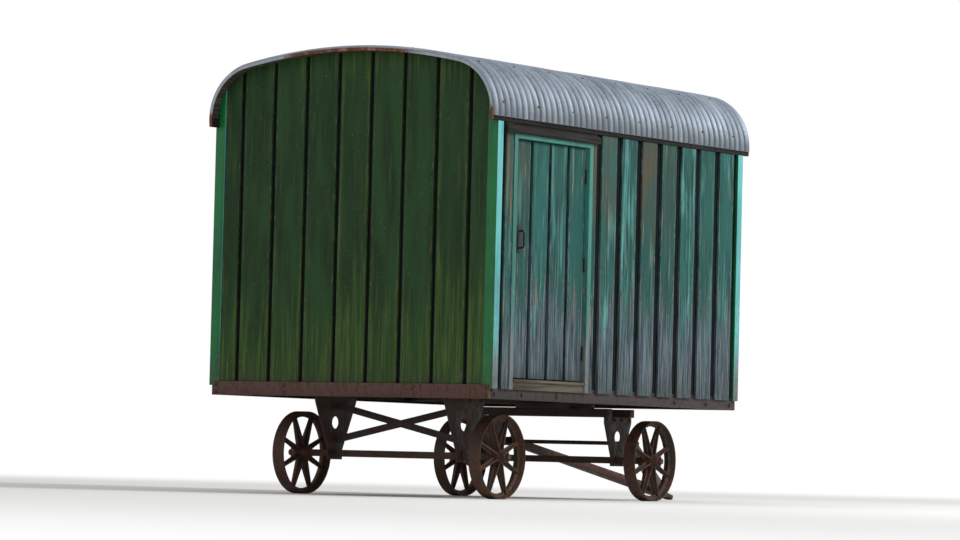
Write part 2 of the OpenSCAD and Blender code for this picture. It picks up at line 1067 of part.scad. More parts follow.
// Arched ribs that stand on the wall heads
module roof_bows() {
    first_x = -inner_x + (2 * inner_x) / (bow_n + 1);
    color(wood)
        place()
            for (i = [0 : bow_n - 1])
                translate([first_x + i * 2 * inner_x / (bow_n + 1), 0, 0]) {
                    over_crown()
                        bow_section();
                    both_sides()
                        over_shoulder()
                            bow_section();
                }
}

module bow_section() {
    translate([-roof_board_t - fit - bow_depth, -bow_w / 2])
        square([bow_depth, bow_w]);
}

module roof_board_section() {
    translate([-roof_board_t, -roof_boards_l / 2])
        square([roof_board_t, roof_boards_l]);
}

// Curved boards of the back shoulder and the fascia that they stand on
module shoulder_boards() {
    color(wood) {
        over_shoulder()
            roof_board_section();
        block([-roof_boards_l / 2, core_y, z_board_top], [roof_boards_l / 2, half_span, z_spring]);
    }
}

module front_roof_boards() {
    place()
        mirror([0, 1, 0])
            shoulder_boards();
}

module back_roof_boards() {
    place()
        shoulder_boards();
}

module crown_roof_boards() {
    color(wood)
        place()
            over_crown()
                roof_board_section();
}

// Wave section of one sheet from corrugation a to corrugation b
module sheet_section(a, b) {
    steps = [a * wave_steps : b * wave_steps];
    back = [for (i = steps) [wave_out(i), wave_place(i)]];
    face = [for (i = steps) [wave_out(a * wave_steps + b * wave_steps - i) + sheet_t,
        wave_place(a * wave_steps + b * wave_steps - i)]];
    polygon(concat(back, face));
}

function wave_out(i) = wave_depth / 2 * (1 - cos(360 * i / wave_steps));
function wave_place(i) = i * wave_pitch / wave_steps - roof_l / 2;

// Sheets side by side along the roof, each second one lapped over its neighbours
module roof_sheets() {
    sheet_n = ceil(wave_n / sheet_waves);
    color(galvanised)
        place()
            for (i = [0 : sheet_n - 1])
                whole_arch(sheet_tail)
                    translate([fit + (i % 2) * (sheet_t + fit), 0])
                        sheet_section(i * sheet_waves, min((i + 1) * sheet_waves + 1, wave_n));
}

// Steel strips bent round the two ends of the roof boards
module roof_edge_trims() {
    strip_w = roof_board_t + 2;
    color(rust)
        place()
            both_ends()
                whole_arch(z_spring - z_board_top)
                    translate([-strip_w, roof_boards_l / 2])
                        square([strip_w, edge_trim_t]);
}

near_end_rail();
far_end_rail();
front_side_rail();
back_side_rail();
cross_members();
floor();
near_axle();
near_axle_stands();
far_axle();
fore_carriage();
turntable_ring();
wheel_near_front();
wheel_near_back();
wheel_far_front();
wheel_far_back();
drawbar();
tow_eye();
near_end_wall();
near_end_boards();
far_end_wall();
far_end_boards();
back_wall();
back_boards();
front_wall_near();
front_wall_far();
front_wall_head();
front_boards_near();
front_boards_far();
near_corner_trims();
far_corner_trims();
door_frame();
drip_cap();
door_sill();
door_leaf();
door_boards();
door_bracing();
door_handle();
hinge_jamb_halves();
hinge_door_halves();
roof_bows();
front_roof_boards();
crown_roof_boards();
back_roof_boards();
roof_sheets();
roof_edge_trims();
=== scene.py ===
# %% [markdown]
# # A shepherds hut, dressed around its construction model
# The construction model gives every board, rail and wheel its place and its size. This lesson puts the
# looks on it: worn paint, weathered timber, rolled zinc sheets, rust and nails.

# %% Load the construction model
from math import atan2, ceil, cos, hypot, pi, radians, sin, tau
from random import Random

import bmesh
import bpy
from mathutils import Matrix, Vector
from mathutils.bvhtree import BVHTree


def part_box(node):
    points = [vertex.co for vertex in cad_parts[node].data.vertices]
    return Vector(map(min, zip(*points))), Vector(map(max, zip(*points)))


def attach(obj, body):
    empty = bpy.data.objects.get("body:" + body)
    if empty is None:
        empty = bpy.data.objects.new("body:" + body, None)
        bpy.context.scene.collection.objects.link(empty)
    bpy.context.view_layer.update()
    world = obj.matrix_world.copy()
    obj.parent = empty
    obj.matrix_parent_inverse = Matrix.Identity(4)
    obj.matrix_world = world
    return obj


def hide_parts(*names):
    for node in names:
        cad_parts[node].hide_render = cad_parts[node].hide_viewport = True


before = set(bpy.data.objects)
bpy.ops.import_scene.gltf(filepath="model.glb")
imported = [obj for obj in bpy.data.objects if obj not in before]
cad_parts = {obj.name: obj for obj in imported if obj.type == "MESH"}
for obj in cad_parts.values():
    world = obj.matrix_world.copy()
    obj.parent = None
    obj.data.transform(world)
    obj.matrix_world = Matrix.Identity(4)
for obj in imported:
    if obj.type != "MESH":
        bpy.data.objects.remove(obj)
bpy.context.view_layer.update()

X, Y, Z = Vector((1, 0, 0)), Vector((0, 1, 0)), Vector((0, 0, 1))
MM = 0.001
print("construction nodes:", len(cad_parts))

# %% [markdown]
# ## Colours and shader nodes
# A paint chart gives colours as sRGB hex values, and shaders count in linear light, so one function turns
# one into the other. A second function adds any shader node, sets its values and links its sockets. That
# keeps every finish below readable as a recipe.

# %% Colour and node helpers


def linear(colour):
    """An sRGB hex colour as linear red, green, blue and alpha."""
    parts = [int(colour[i : i + 2], 16) / 255 for i in (1, 3, 5)]
    return [c / 12.92 if c <= 0.04045 else ((c + 0.055) / 1.055) ** 2.4 for c in parts] + [1.0]


def add_node(tree, kind, sockets=(), **settings):
    """Adds a node, fills its sockets in order or by name, and returns its first live output."""
    node = tree.nodes.new("ShaderNode" + kind)
    for key, value in settings.items():
        setattr(node, key, value)
    for key, value in sockets.items() if isinstance(sockets, dict) else enumerate(sockets):
        live = [s for s in node.inputs if s.enabled and s.name == key]
        socket = live[0] if live else node.inputs[key]
        if isinstance(value, bpy.types.NodeSocket):
            tree.links.new(value, socket)
        else:
            socket.default_value = value
    return next((s for s in node.outputs if s.enabled), None)


print("white is", linear("#ffffff"))

# %% [markdown]
# ## How a pattern finds its place
# Wood grain, streaks and rust are drawn from the object's own coordinates, in metres, so they stay put when
# the camera or the door moves. Each board carries a random number, called `board`. It shifts the pattern, so
# that the grain of one board doesn't run on into the next.
#
# A finish is built up in coats, as time laid them on the hut. A coat is a colour that covers what is below
# it as far as its windows let it. A window is a pattern and the two values between which the coat comes in,
# and it may add the least and the most that it lets through. Several windows are multiplied, so a coat can
# ask for two things at once, such as a low place and a splash.
#
# Old paint and dry wood are porous, and their pores swallow part of the gloss that a smooth film of the
# same refractive index would show. So the chalky and dry finishes lower the specular level.

# %% Pattern helpers


def new_material(name):
    """An empty material and its tree."""
    material = bpy.data.materials.new(name)
    material.use_nodes = True
    material.node_tree.nodes.clear()
    return material, material.node_tree


def new_finish(name):
    """A material, its tree, the object coordinates, those shifted by each board's number, and that number."""
    material, tree = new_material(name)
    spot = add_node(tree, "TexCoord").node.outputs["Object"]
    board = add_node(tree, "Attribute", attribute_name="board").node.outputs["Fac"]
    shift = add_node(tree, "VectorMath", (board, (13.0, 29.0, 7.0)), operation="MULTIPLY")
    moved = add_node(tree, "VectorMath", (spot, shift), operation="ADD")
    return material, tree, spot, moved, board


def pattern(tree, place, size, detail=3.0, rough=0.55, stretch=(1, 1, 1)):
    """Noise with spots of a real size in millimetres, drawn longer along an axis by stretch."""
    scale = [1 / (size * MM * s) for s in stretch]
    vector = add_node(tree, "Mapping", {"Vector": place, "Scale": scale})
    return add_node(tree, "TexNoise", {"Vector": vector, "Scale": 1.0, "Detail": detail, "Roughness": rough})


def sum_of(tree, *parts):
    """Adds up patterns, each times its weight."""
    total = 0.0
    for value, weight in parts:
        total = add_node(tree, "Math", (value, weight, total), operation="MULTIPLY_ADD")
    return total


def cover(tree, *windows):
    """How much some windows let through, from 0 to 1. One of them may be such a share itself."""
    total = None
    for window in windows:
        if isinstance(window, tuple):
            value, low, high, *ends = window
            ends = (value, low, high, *(ends or (0, 1)))
            window = add_node(tree, "MapRange", ends, interpolation_type="SMOOTHSTEP")
        total = window if total is None else add_node(tree, "Math", (total, window), operation="MULTIPLY")
    return total


def coats(tree, colour, *layers):
    """Lays coats over a colour, one by one. Each is a colour and the windows that let it through."""
    for over, *windows in layers:
        under, over = (linear(c) if isinstance(c, str) else c for c in (colour, over))
        mix = {"Factor": cover(tree, *windows), "A": under, "B": over}
        colour = add_node(tree, "Mix", mix, data_type="RGBA")
    return colour


def surface(material, tree, colour, rough, height, depth, sockets):
    """Ends a finish: colour, a window for the roughness, and a bump with a real depth in millimetres."""
    bump = add_node(tree, "Bump", {"Height": height, "Distance": depth * MM, "Strength": 0.8})
    known = {"Base Color": colour, "Roughness": cover(tree, rough), "Normal": bump}
    shader = add_node(tree, "BsdfPrincipled", {**known, **sockets})
    add_node(tree, "OutputMaterial", {"Surface": shader})
    return material


CHALKY = {"IOR": 1.47, "Specular IOR Level": 0.2}
OILED = {"IOR": 1.47, "Specular IOR Level": 0.4}
DRY_WOOD = {"IOR": 1.45, "Specular IOR Level": 0.15}
ALONG_Z, ALONG_X, ALONG_Y = (1, 1, 28), (28, 1, 1), (1, 28, 1)
EARTH, CRACK, LICHEN = "#3a382f", "#15171a", "#7f8f74"
print("patterns follow the grain by", ALONG_Z)

# %% [markdown]
# ## Painted boards
# The boards are softwood under old oil paint. Sun chalks the paint, so it fades in long upright streaks.
# Rain splashing from the ground strips the foot of each board to grey, furrowed wood, and on the shaded
# ends green algae grow over the paint, most near the foot and under the roof. Where the paint is thin, at
# the edges of a board and low down, it cracks and comes off in flakes with crisp edges. Each board carries
# a second number, `edge`, that is 1 at its long edges and falls to 0 inside, so the finish knows where they
# are. The flakes and algae there lighten the edges, which is partly wear and partly a painted highlight.
# One recipe serves all the boards, and each call says how far each kind of wear has gone.

# %% The paint recipe


def painted_boards(name, paint, faded, shade, bare, bare_dark, foot, fade=0.5, tone=0.3, algae=None,
                   streaks=None, browned=None):
    """Old oil paint on upright softwood boards. foot is the height up to which it is worn to the wood."""
    material, tree, spot, moved, board = new_finish(name)
    edge = add_node(tree, "Attribute", attribute_name="edge").node.outputs["Fac"]
    height = add_node(tree, "SeparateXYZ", (spot,)).node.outputs["Z"]
    grain = pattern(tree, moved, 4, 4, 0.65, ALONG_Z)
    furrow = pattern(tree, moved, 9, 5, 0.7, (1, 1, 45))
    streak = pattern(tree, moved, 26, 4, 0.6, (1, 1, 22))
    broad = pattern(tree, moved, 130, 3, 0.5, (1, 1, 5))

    worn = sum_of(tree, (streak, 1), (broad, 1))
    colour = coats(
        tree, paint,
        (shade, (broad, 0.35, 0.65)),
        (faded, (worn, 1.22 - fade * 0.4, 1.62 - fade * 0.4)),
        (shade, (board, 0, 1, 0, tone)),
        (shade, (grain, 0.3, 0.75, 0, 0.3)),
    )
    if browned:
        # The decimals of a multiple of the board's number are a second number, with no tie to the first.
        second = add_node(tree, "Math", (sum_of(tree, (board, 7.31)),), operation="FRACT")
        high_up = ((second, 0.50, 0.60), (height, 1.75, 2.35), (broad, 0.3, 0.55, 0, 0.85))
        colour = coats(tree, colour, (browned, *high_up))

    if algae:
        tint, young, low, high = algae
        near_foot = cover(tree, (height, low, low + 1.25, 0.38, 0))
        under_roof = cover(tree, (height, high - 0.35, high, 0, 0.25))
        patch = pattern(tree, moved, 60, 5, 0.62, (1, 1, 7))
        # More algae along the edges: growth, and partly a painted highlight there.
        damp = sum_of(tree, (streak, 0.5), (patch, 0.5), (near_foot, 1), (under_roof, 1), (edge, 0.13),
                      (board, 0.16))
        growth = coats(tree, young, (tint, (streak, 0.40, 0.66)), (shade, (furrow, 0.45, 0.62, 0, 0.7)))
        specks = pattern(tree, spot, 11, 2, 0.5, (1, 1, 1.6))
        colour = coats(tree, colour, (growth, (damp, 0.64, 0.96, 0, 0.85)),
                       (LICHEN, (specks, 0.70, 0.74, 0, 0.45)))

    crack = pattern(tree, moved, 15, 2, 0.5, (1, 1, 60))
    crack = add_node(tree, "Math", (crack, 0.5, 0.012), operation="COMPARE")
    wood = coats(tree, bare_dark, (bare, (furrow, 0.37, 0.63)), (CRACK, (crack, 0, 1, 0, 0.75)))
    ragged = sum_of(tree, (streak, 1.6), (height, 1))
    stripped = cover(tree, (ragged, foot + 0.64, foot + 0.90, 0.96, 0))
    flake = pattern(tree, moved, 15, 5, 0.7, (1, 1, 5))
    low_down = cover(tree, (height, foot, foot + 0.75, 0.13, 0))
    # More flaking along the edges: wear, and partly a painted highlight there.
    flaked = cover(tree, (sum_of(tree, (flake, 1), (edge, 0.17), (low_down, 1)), 0.70, 0.73, 0, 0.8))
    colour = coats(tree, colour, (wood, flaked))
    if streaks:
        tint, share = streaks
        narrow = pattern(tree, moved, 17, 3, 0.5, (1, 1, 34))
        raw = coats(tree, tint, (bare_dark, furrow))
        colour = coats(tree, colour, (raw, (narrow, 0.70 - share, 0.74 - share)))

    splash = pattern(tree, spot, 70, 5, 0.7)
    colour = coats(tree, colour, (wood, stripped), (EARTH, (height, 0.78, 1.0, 0.55, 0), (splash, 0.3, 0.7)))
    depth = add_node(tree, "Math", (stripped, 1.6, 0.5), operation="MULTIPLY_ADD")
    relief = sum_of(tree, (furrow, depth), (grain, depth), (flaked, -0.5))
    return surface(material, tree, colour, (stripped, 0, 1, 0.66, 0.9), relief, 0.9, CHALKY)


GREEN = painted_boards("Dark green oil paint on softwood, algae", "#264524", "#3f5b31", "#193018", "#5b5f48",
                       "#33372a", 0.42, fade=0.35, tone=0.42, algae=("#4d632c", "#324e20", 0.75, 3.15),
                       streaks=("#6a4a34", -0.02))
TEAL = painted_boards("Blue-green oil paint on softwood, sun worn", "#205a54", "#5c9f9a", "#0f332f",
                      "#68757d", "#1f272b", 1.36, fade=0.62, tone=0.55, streaks=("#a8926b", 0.045),
                      browned="#453f30")
print("board finishes:", GREEN.name, "and", TEAL.name)

# %% [markdown]
# The corner trims and the door casing were painted later and stand proud, so their paint is cleaner and
# brighter. On the real hut the trims are emerald on the end and blue-green on the sunny side, where
# the rain has also taken the foot back to the wood. The blue-green is made pale as painted sunlight, on
# both long sides. So one board gets two paints, by the way its faces look.

# %% Trim paint


def trim_paint(name, paint, thin, foot):
    """Brighter paint on a planed trim, bare below foot."""
    material, tree, spot, moved, _ = new_finish(name)
    height = add_node(tree, "SeparateXYZ", (spot,)).node.outputs["Z"]
    grain = pattern(tree, moved, 4, 4, 0.65, ALONG_Z)
    streak = pattern(tree, moved, 18, 4, 0.6, (1, 1, 30))
    flake = pattern(tree, moved, 12, 5, 0.7, (1, 1, 5))
    broad = pattern(tree, moved, 160, 4, 0.6, (1, 1, 3))
    wood = coats(tree, "#4a5053", ("#878e90", grain))
    ragged = sum_of(tree, (streak, 1.4), (height, 1))
    stripped = cover(tree, (ragged, foot + 0.45, foot + 0.75, 0.9, 0))
    low_down = cover(tree, (height, foot, foot + 1.2, 0.1, 0))
    flaked = cover(tree, (sum_of(tree, (flake, 1), (low_down, 1)), 0.655, 0.68))
    bare = add_node(tree, "Math", (stripped, flaked), operation="MAXIMUM")
    splash = pattern(tree, spot, 60, 5, 0.7)
    colour = coats(
        tree, paint,
        (thin, (streak, 0.46, 0.70, 0, 0.6)),
        (thin, (broad, 0.40, 0.65, 0, 0.55)),
        (wood, bare),
        (EARTH, (height, 0.78, 1.15, 0.5, 0), (splash, 0.3, 0.7)),
    )
    relief = sum_of(tree, (bare, -0.6), (grain, 1))
    return surface(material, tree, colour, (bare, 0, 1, 0.5, 0.9), relief, 0.5, OILED)


TRIM_END = trim_paint("Emerald trim paint", "#076a34", "#0c4b2c", 0.30)
# Pale blue-green: a blue-green paint made pale as painted sunlight.
TRIM_SIDE_SUNLIT = trim_paint("Blue-green trim paint, pale as painted sunlight", "#5aa8aa", "#2f7f80", 1.10)
CASING = trim_paint("Blue-green casing paint", "#2f766a", "#1c554a", 1.25)
print("trim finishes:", TRIM_END.name, TRIM_SIDE_SUNLIT.name, CASING.name)

# %% [markdown]
# ## Bare and dark timber
# Inside, the boards were never painted: they are planed softwood that has yellowed. The fascia and the
# drip cap outside have gone nearly black with old tar paint. Both show grain along the board, so the
# recipe is told which way the boards lie.

# %% Unpainted timber recipe
KNOT_GAP = 0.26  # metres between knots, on average


def timber(name, light, dark, along, depth=0.4, gloss=0.7, knots=None):
    """Sawn or planed softwood: broad growth rings, fine grain, knots and a tone for each board."""
    material, tree, _, moved, board = new_finish(name)
    grain = pattern(tree, moved, 3, 4, 0.65, along)
    rings = pattern(tree, moved, 16, 3, 0.5, along)
    blotch = pattern(tree, moved, 220, 3, 0.5)
    colour = coats(
        tree, light,
        (dark, (rings, 0.35, 0.65)),
        (dark, (grain, 0.45, 0.75, 0, 0.45)),
        (dark, (board, 0, 1, 0, 0.35)),
        (dark, (blotch, 0.45, 0.7, 0, 0.3)),
    )
    if knots:
        apart = [1 / (KNOT_GAP * s**0.5) for s in along]
        centre = add_node(tree, "Mapping", {"Vector": moved, "Scale": apart})
        near = add_node(tree, "TexVoronoi", {"Vector": centre, "Scale": 1.0}).node.outputs["Distance"]
        colour = coats(tree, colour, (knots, (near, 0.02, 0.10, 0.8, 0)))
    return surface(material, tree, colour, (rings, 0, 1, gloss, 0.85), grain, depth, DRY_WOOD)


LINING = timber("Planed softwood lining", "#a58b67", "#775b3b", ALONG_Z, knots="#4e341d")
ROOF_LINING = timber("Planed softwood roof boards", "#a38861", "#765a39", ALONG_X, knots="#4e341d")
VERGE = timber("Weathered softwood under the verge", "#575044", "#37322a", ALONG_X, 0.8, 0.8)
PLANKS = timber("Scrubbed softwood floorboards", "#9a8262", "#6a5439", ALONG_X, 0.7, knots="#4a3420")
BOWS = timber("Bent ash roof bows", "#a78a60", "#75592f", ALONG_Y)
TARRED = timber("Tarred softwood", "#2a2725", "#171615", ALONG_X, 0.8, 0.6)
# Nearly black: painted shade deep in the seams between boards, also on the floor's edges.
SEAM_SHADE = timber("Boards behind the seams, nearly black as painted shade", "#10171a", "#090c0c", ALONG_Z, 0.5, 0.8)
SILL = timber("Worn oak sill", "#6d665a", "#3f3a31", ALONG_X, 0.9)
print("finishes with the timber:", len(bpy.data.materials))

# %% [markdown]
# ## Metals
# The chassis was painted red-brown and black and has rusted through, and the cast wheels never had more
# than a coat of black. Rust starts as pinholes, joins to patches and runs down with the rain. One recipe
# serves them all, also the strip along the roof's ends, whose zinc is left only on the steep shoulders.

# %% Rusty steel and iron recipe


def rusty_metal(name, paint, rust, deep, share, depth=0.5, metal=0.25, sound=None):
    """Painted steel or iron with patches and pinholes of rust. sound tints what is left on the shoulders."""
    material, tree, spot, moved, _ = new_finish(name)
    patch = pattern(tree, moved, 55, 6, 0.68)
    pits = pattern(tree, moved, 6, 4, 0.6)
    runs = pattern(tree, moved, 20, 4, 0.6, (1, 1, 6))
    eaten = cover(tree, (sum_of(tree, (patch, 1), (runs, 1)), 1.12 - share, 1.28 - share))
    rusted = coats(tree, deep, (rust, (pits, 0.35, 0.65)))
    colour = coats(tree, paint, (rusted, eaten), (deep, (runs, 0.55, 0.8, 0, 0.35)))
    if sound:
        axes = add_node(tree, "SeparateXYZ", (spot,)).node.outputs
        aside = add_node(tree, "Math", (axes["Y"],), operation="ABSOLUTE")
        aside = sum_of(tree, (patch, 0.5), (aside, 1))
        shoulder = ((aside, 0.72, 0.90), (axes["Z"], 2.70, 2.76), (pits, 0.62, 0.70, 1, 0.2))
        colour = coats(tree, colour, (coats(tree, "#6a727d", (sound, runs)), *shoulder))
    relief = sum_of(tree, (pits, 1), (eaten, 1))
    return surface(material, tree, colour, (eaten, 0, 1, 0.55, 0.85), relief, depth, {"Metallic": metal})


OXIDE = rusty_metal("Red oxide paint on rolled steel, rusting", "#48302b", "#6a4030", "#2e211d", 0.16)
# Near black over red oxide: painted shade under the side boards.
OXIDE_IN_SHADE = rusty_metal("Red oxide paint on rolled steel, black with grime", "#2b2322", "#4b3029", "#1b1615",
                    0.10)
STRIP = rusty_metal("Galvanised steel strip, rusty at the crown", "#8a6257", "#7a4527", "#4a2c1f", 0.30,
                    sound="#c3cad3")
CHASSIS = rusty_metal("Black paint on chassis steel, rusting", "#26221f", "#5b3826", "#1f1815", 0.18)
CAST = rusty_metal("Cast iron under worn black paint", "#2b2623", "#6a412b", "#2a1d17", 0.22, 0.8)
FITTINGS = rusty_metal("Black iron door fittings", "#1f1d1c", "#4a2f22", "#171412", 0.02, 0.2, 0.5)
NAIL = rusty_metal("Rusty nail and screw heads", "#4b3a2c", "#6b4227", "#2c1e16", 0.2, 0.2, 0.5)
print("finishes with the rusty metals:", len(bpy.data.materials))

# %% [markdown]
# The roof is rolled steel dipped in zinc. New zinc shines and shows crystal spangles, and weather turns it
# to a dull blue-grey with chalky runs; part of that blue is a painted reflection of the sky. The finish adds
# two things to plain noise. Voronoi cells, about 14 mm across, stand for the spangles, each with a slightly
# different gloss. A cosine of the place along the hut, with the pitch of the corrugations, finds the hollows,
# where dirt and moss collect. The hollows are darkened partly as dirt and partly as painted shade between
# the crests, and a darker band along the eave is painted shade.

# %% Weathered zinc
PITCH, WAVE_N, SPANGLE = 76 * MM, 47, 14 * MM
ROOF_LENGTH = WAVE_N * PITCH
ROOF_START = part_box("roof_sheets")[0].x


def zinc():
    """Hot-dip galvanised steel that has stood outdoors for decades."""
    material, tree, spot, moved, _ = new_finish("Weathered galvanised steel")
    axes = add_node(tree, "SeparateXYZ", (spot,)).node.outputs
    height = axes["Z"]
    turns = tau / PITCH
    phase = add_node(tree, "Math", (axes["X"], turns, -ROOF_START * turns), operation="MULTIPLY_ADD")
    crest = add_node(tree, "Math", (phase,), operation="COSINE")
    runs = pattern(tree, moved, 34, 3, 0.55, (1, 12, 12))
    cloud = pattern(tree, moved, 190, 4, 0.6, (1, 2, 2))
    cells = add_node(tree, "TexVoronoi", {"Vector": spot, "Scale": 1 / SPANGLE}).node.outputs["Color"]
    spangle = add_node(tree, "SeparateColor", (cells,))
    dirt_and_shade = cover(tree, (cloud, 0.30, 0.70, 0.30, 0.60))
    # Painted shade along the eave is added to the dirt.
    dirt_and_shade = sum_of(tree, (dirt_and_shade, 1), (cover(tree, (height, 2.75, 3.05, 0.6, 0)), 1))
    colour = coats(
        # These blue-greys are partly a painted reflection of the sky.
        tree, "#7e8a98",
        ("#616c7a", (cloud, 0.35, 0.68)),
        ("#a6b2c0", (runs, 0.48, 0.72, 0, 0.5)),
        ("#c0c7cc", (spangle, 0, 1, 0, 0.14)),
        # Dark in the hollows: dirt, and painted shade between the crests.
        ("#2f353a", (crest, -0.1, 0.9), dirt_and_shade),
        # A darker band along the eave: painted shade.
        ("#474d4e", (height, 2.66, 2.90, 0.7, 0), (runs, 0.30, 0.60, 0.35, 1)),
    )
    return surface(material, tree, colour, (spangle, 0, 1, 0.48, 0.60), runs, 0.12, {"Metallic": 0.45})


ZINC = zinc()
print("corrugations from x =", round(ROOF_START, 4), "every", PITCH)

# %% [markdown]
# ## Tools for shaping
# Every piece begins as a bmesh, either a copy of a construction node or one of the create operators. A
# copied node arrives as loose triangles, so its doubles are merged and its flat faces are dissolved before
# anything else. A face that turns back on itself, like the one round a doorway, is split again into
# convex parts, because a bevel can close such a doorway by mistake.
#
# `soften` takes the knife edge off: real edges are rounded by the saw, the plane and the weather, and it is
# that small round that catches the light. `finish` writes the mesh, gives it to its body and hides the
# nodes it stands for.

# %% Shaping helpers
WELD = 0.01 * MM


def mesh_of(bm, name):
    """Writes a bmesh to a new mesh and frees it."""
    mesh = bpy.data.meshes.new(name)
    bm.to_mesh(mesh)
    bm.free()
    return mesh


def join(bm, part):
    """Adds a second bmesh to the first and frees it."""
    spare = mesh_of(part, "part")
    bm.from_mesh(spare)
    bpy.data.meshes.remove(spare)


def new_object(name, data):
    """An object at the origin, linked to the scene."""
    made = bpy.data.objects.new(name, data)
    bpy.context.scene.collection.objects.link(made)
    return made


def cad_shape(node):
    """A copy of a construction node with whole flat faces."""
    bm = bmesh.new()
    bm.from_mesh(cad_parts[node].data)
    bmesh.ops.remove_doubles(bm, verts=bm.verts, dist=WELD)
    bmesh.ops.dissolve_limit(bm, angle_limit=radians(1), verts=bm.verts, edges=bm.edges)
    bmesh.ops.connect_verts_concave(bm, faces=bm.faces)
    return bm


def all_of(bm):
    """Every vertex, edge and face, for the operators that take them together."""
    return [*bm.verts, *bm.edges, *bm.faces]


def islands(bm):
    """The separate solids of a mesh, each as a list of vertices."""
    seen, found = set(), []
    for start in bm.verts:
        if start in seen:
            continue
        seen.add(start)
        group = [start]
        for vert in group:
            fresh = [v for v in (e.other_vert(vert) for e in vert.link_edges) if v not in seen]
            seen.update(fresh)
            group += fresh
        found.append(group)
    return found


def spans(bm, across):
    """The islands with the lowest and highest place that each reaches along an axis."""
    found = []
    for group in islands(bm):
        side = [v.co.dot(across) for v in group]
        found.append((min(side), max(side), group))
    return found


def number_boards(bm, rng):
    """Gives each solid its own random number, in order of place. The finishes read it."""
    layer = bm.verts.layers.float.get("board") or bm.verts.layers.float.new("board")
    for group in sorted(islands(bm), key=lambda group: min(tuple(v.co) for v in group)):
        tone = rng.random()
        for vert in group:
            vert[layer] = tone


def mark_edges(bm, across, reach=6 * MM):
    """Writes 1 on the vertices along each board's two long edges, for the wear there and a painted highlight.
    """
    layer = bm.verts.layers.float.new("edge")
    for low, high, group in spans(bm, across):
        for vert in group:
            side = vert.co.dot(across)
            vert[layer] = float(min(side - low, high - side) < reach)


def bevel(bm, edges, width, segments):
    """Cuts edges back. One segment chamfers them, and more of them make a round."""
    bmesh.ops.bevel(bm, geom=edges, offset=width, offset_type="OFFSET", segments=segments, profile=0.5,
                    affect="EDGES", material=-1, clamp_overlap=True)


def soften(bm, width, segments=2, angle=30):
    """Rounds every edge that turns by more than an angle. The width is in millimetres."""
    sharp = [e for e in bm.edges if e.is_manifold and e.calc_face_angle(0) > radians(angle)]
    bevel(bm, sharp, width * MM, segments)


def block(bm, lo, hi):
    """A box between two corners, made from the unit cube."""
    lo, hi = Vector(lo), Vector(hi)
    size = Matrix.Diagonal((*(hi - lo), 1))
    bmesh.ops.create_cube(bm, size=1, matrix=Matrix.Translation((lo + hi) / 2) @ size)


def seat(place, out):
    """The matrix that moves to a place and turns Z outwards there."""
    return Matrix.Translation(place) @ Z.rotation_difference(out).to_matrix().to_4x4()


def any_turn(rng):
    """A random turn about Z, like the one at which a screw stops."""
    return Matrix.Rotation(rng.uniform(0, tau), 4, "Z")


def cone(bm, matrix, sides, foot, top, height):
    """A closed cone with few sides, centred on a place and pointing along its Z."""
    bmesh.ops.create_cone(bm, cap_ends=True, segments=sides, radius1=foot, radius2=top, depth=height,
                          matrix=matrix)


def cut_across(bm, axis, places):
    """Adds edge loops at places along an axis, so that a long face can bend."""
    for place in places:
        bmesh.ops.bisect_plane(bm, geom=all_of(bm), dist=WELD, plane_co=axis * place, plane_no=axis)


def second_finish(bm, test):
    """Gives the faces that pass a test the piece's second material."""
    bm.normal_update()
    for face in bm.faces:
        face.material_index = int(test(face.calc_center_median(), face.normal))


def steps(low, high, spacing):
    """Evenly spaced places between two ends, without the ends."""
    n = max(1, round((high - low) / spacing))
    return [low + (high - low) * i / n for i in range(1, n)]


def finish(bm, name, materials, nodes=(), body="root", angle=35, tones=None):
    """Turns a bmesh into a piece that rides on a body and stands for nodes. tones numbers its boards."""
    if tones:
        number_boards(bm, tones)
    mesh = mesh_of(bm, name)
    for material in materials if isinstance(materials, list) else [materials]:
        mesh.materials.append(material)
    mesh.shade_smooth()
    mesh.set_sharp_from_angle(angle=radians(angle))
    piece = new_object(name, mesh)
    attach(piece, body)
    if nodes:
        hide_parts(*nodes)
    print(f"{name}: {len(mesh.polygons)} faces")


print("shaping helpers ready")

# %% [markdown]
# ## Weatherboards
# A wall board that is wet on one side and dry on the other cups across its width, and it wavers a little
# along its length. So each board gets loops along and across, its face sinks by a millimetre or two, and
# the rotted foot is a little ragged. All of this goes inwards, so the hut keeps its size. Modelling each
# board from a cube would also do, but a copy of the node keeps the arched tops that the roof cuts.

# %% Dress the boards
LOOPS = steps(0.75, 3.15, 0.3)  # heights along a board, from below its foot to the roof
STRIPS, WAVER_PER_M, FLUSH = 5, 3.1, 0.1 * MM  # strips across a board, and radians of waver along it


def weather_boards(bm, outward, rng, cup=1.8 * MM, ragged=3 * MM):
    """Cups and wavers the outer face of each board and wears its foot."""
    across = Z.cross(outward)
    cut_across(bm, Z, LOOPS)
    for low, high, _ in spans(bm, across):
        cut_across(bm, across, steps(low, high, (high - low) / STRIPS))
    for low, high, group in spans(bm, across):
        front = max(v.co.dot(outward) for v in group)
        foot = min(v.co.z for v in group)
        bow, phase, waver = rng.uniform(-1, 1) * cup, rng.uniform(0, tau), rng.uniform(0.2, 0.7) * MM
        for v in sorted(group, key=lambda v: tuple(v.co)):
            at = 2 * (v.co.dot(across) - low) / (high - low) - 1
            if front - v.co.dot(outward) < FLUSH:
                sink = bow * (1 - at * at) if bow > 0 else -bow * at * at
                v.co -= outward * (sink + waver * (1 + sin(phase + WAVER_PER_M * v.co.z)))
            if v.co.z - foot < FLUSH:
                v.co.z += rng.uniform(0, ragged)


FAR_OUT, HEAD_LIFT = 5, 0.2 * MM  # where the lines to the faces start, and the middle of a head lies


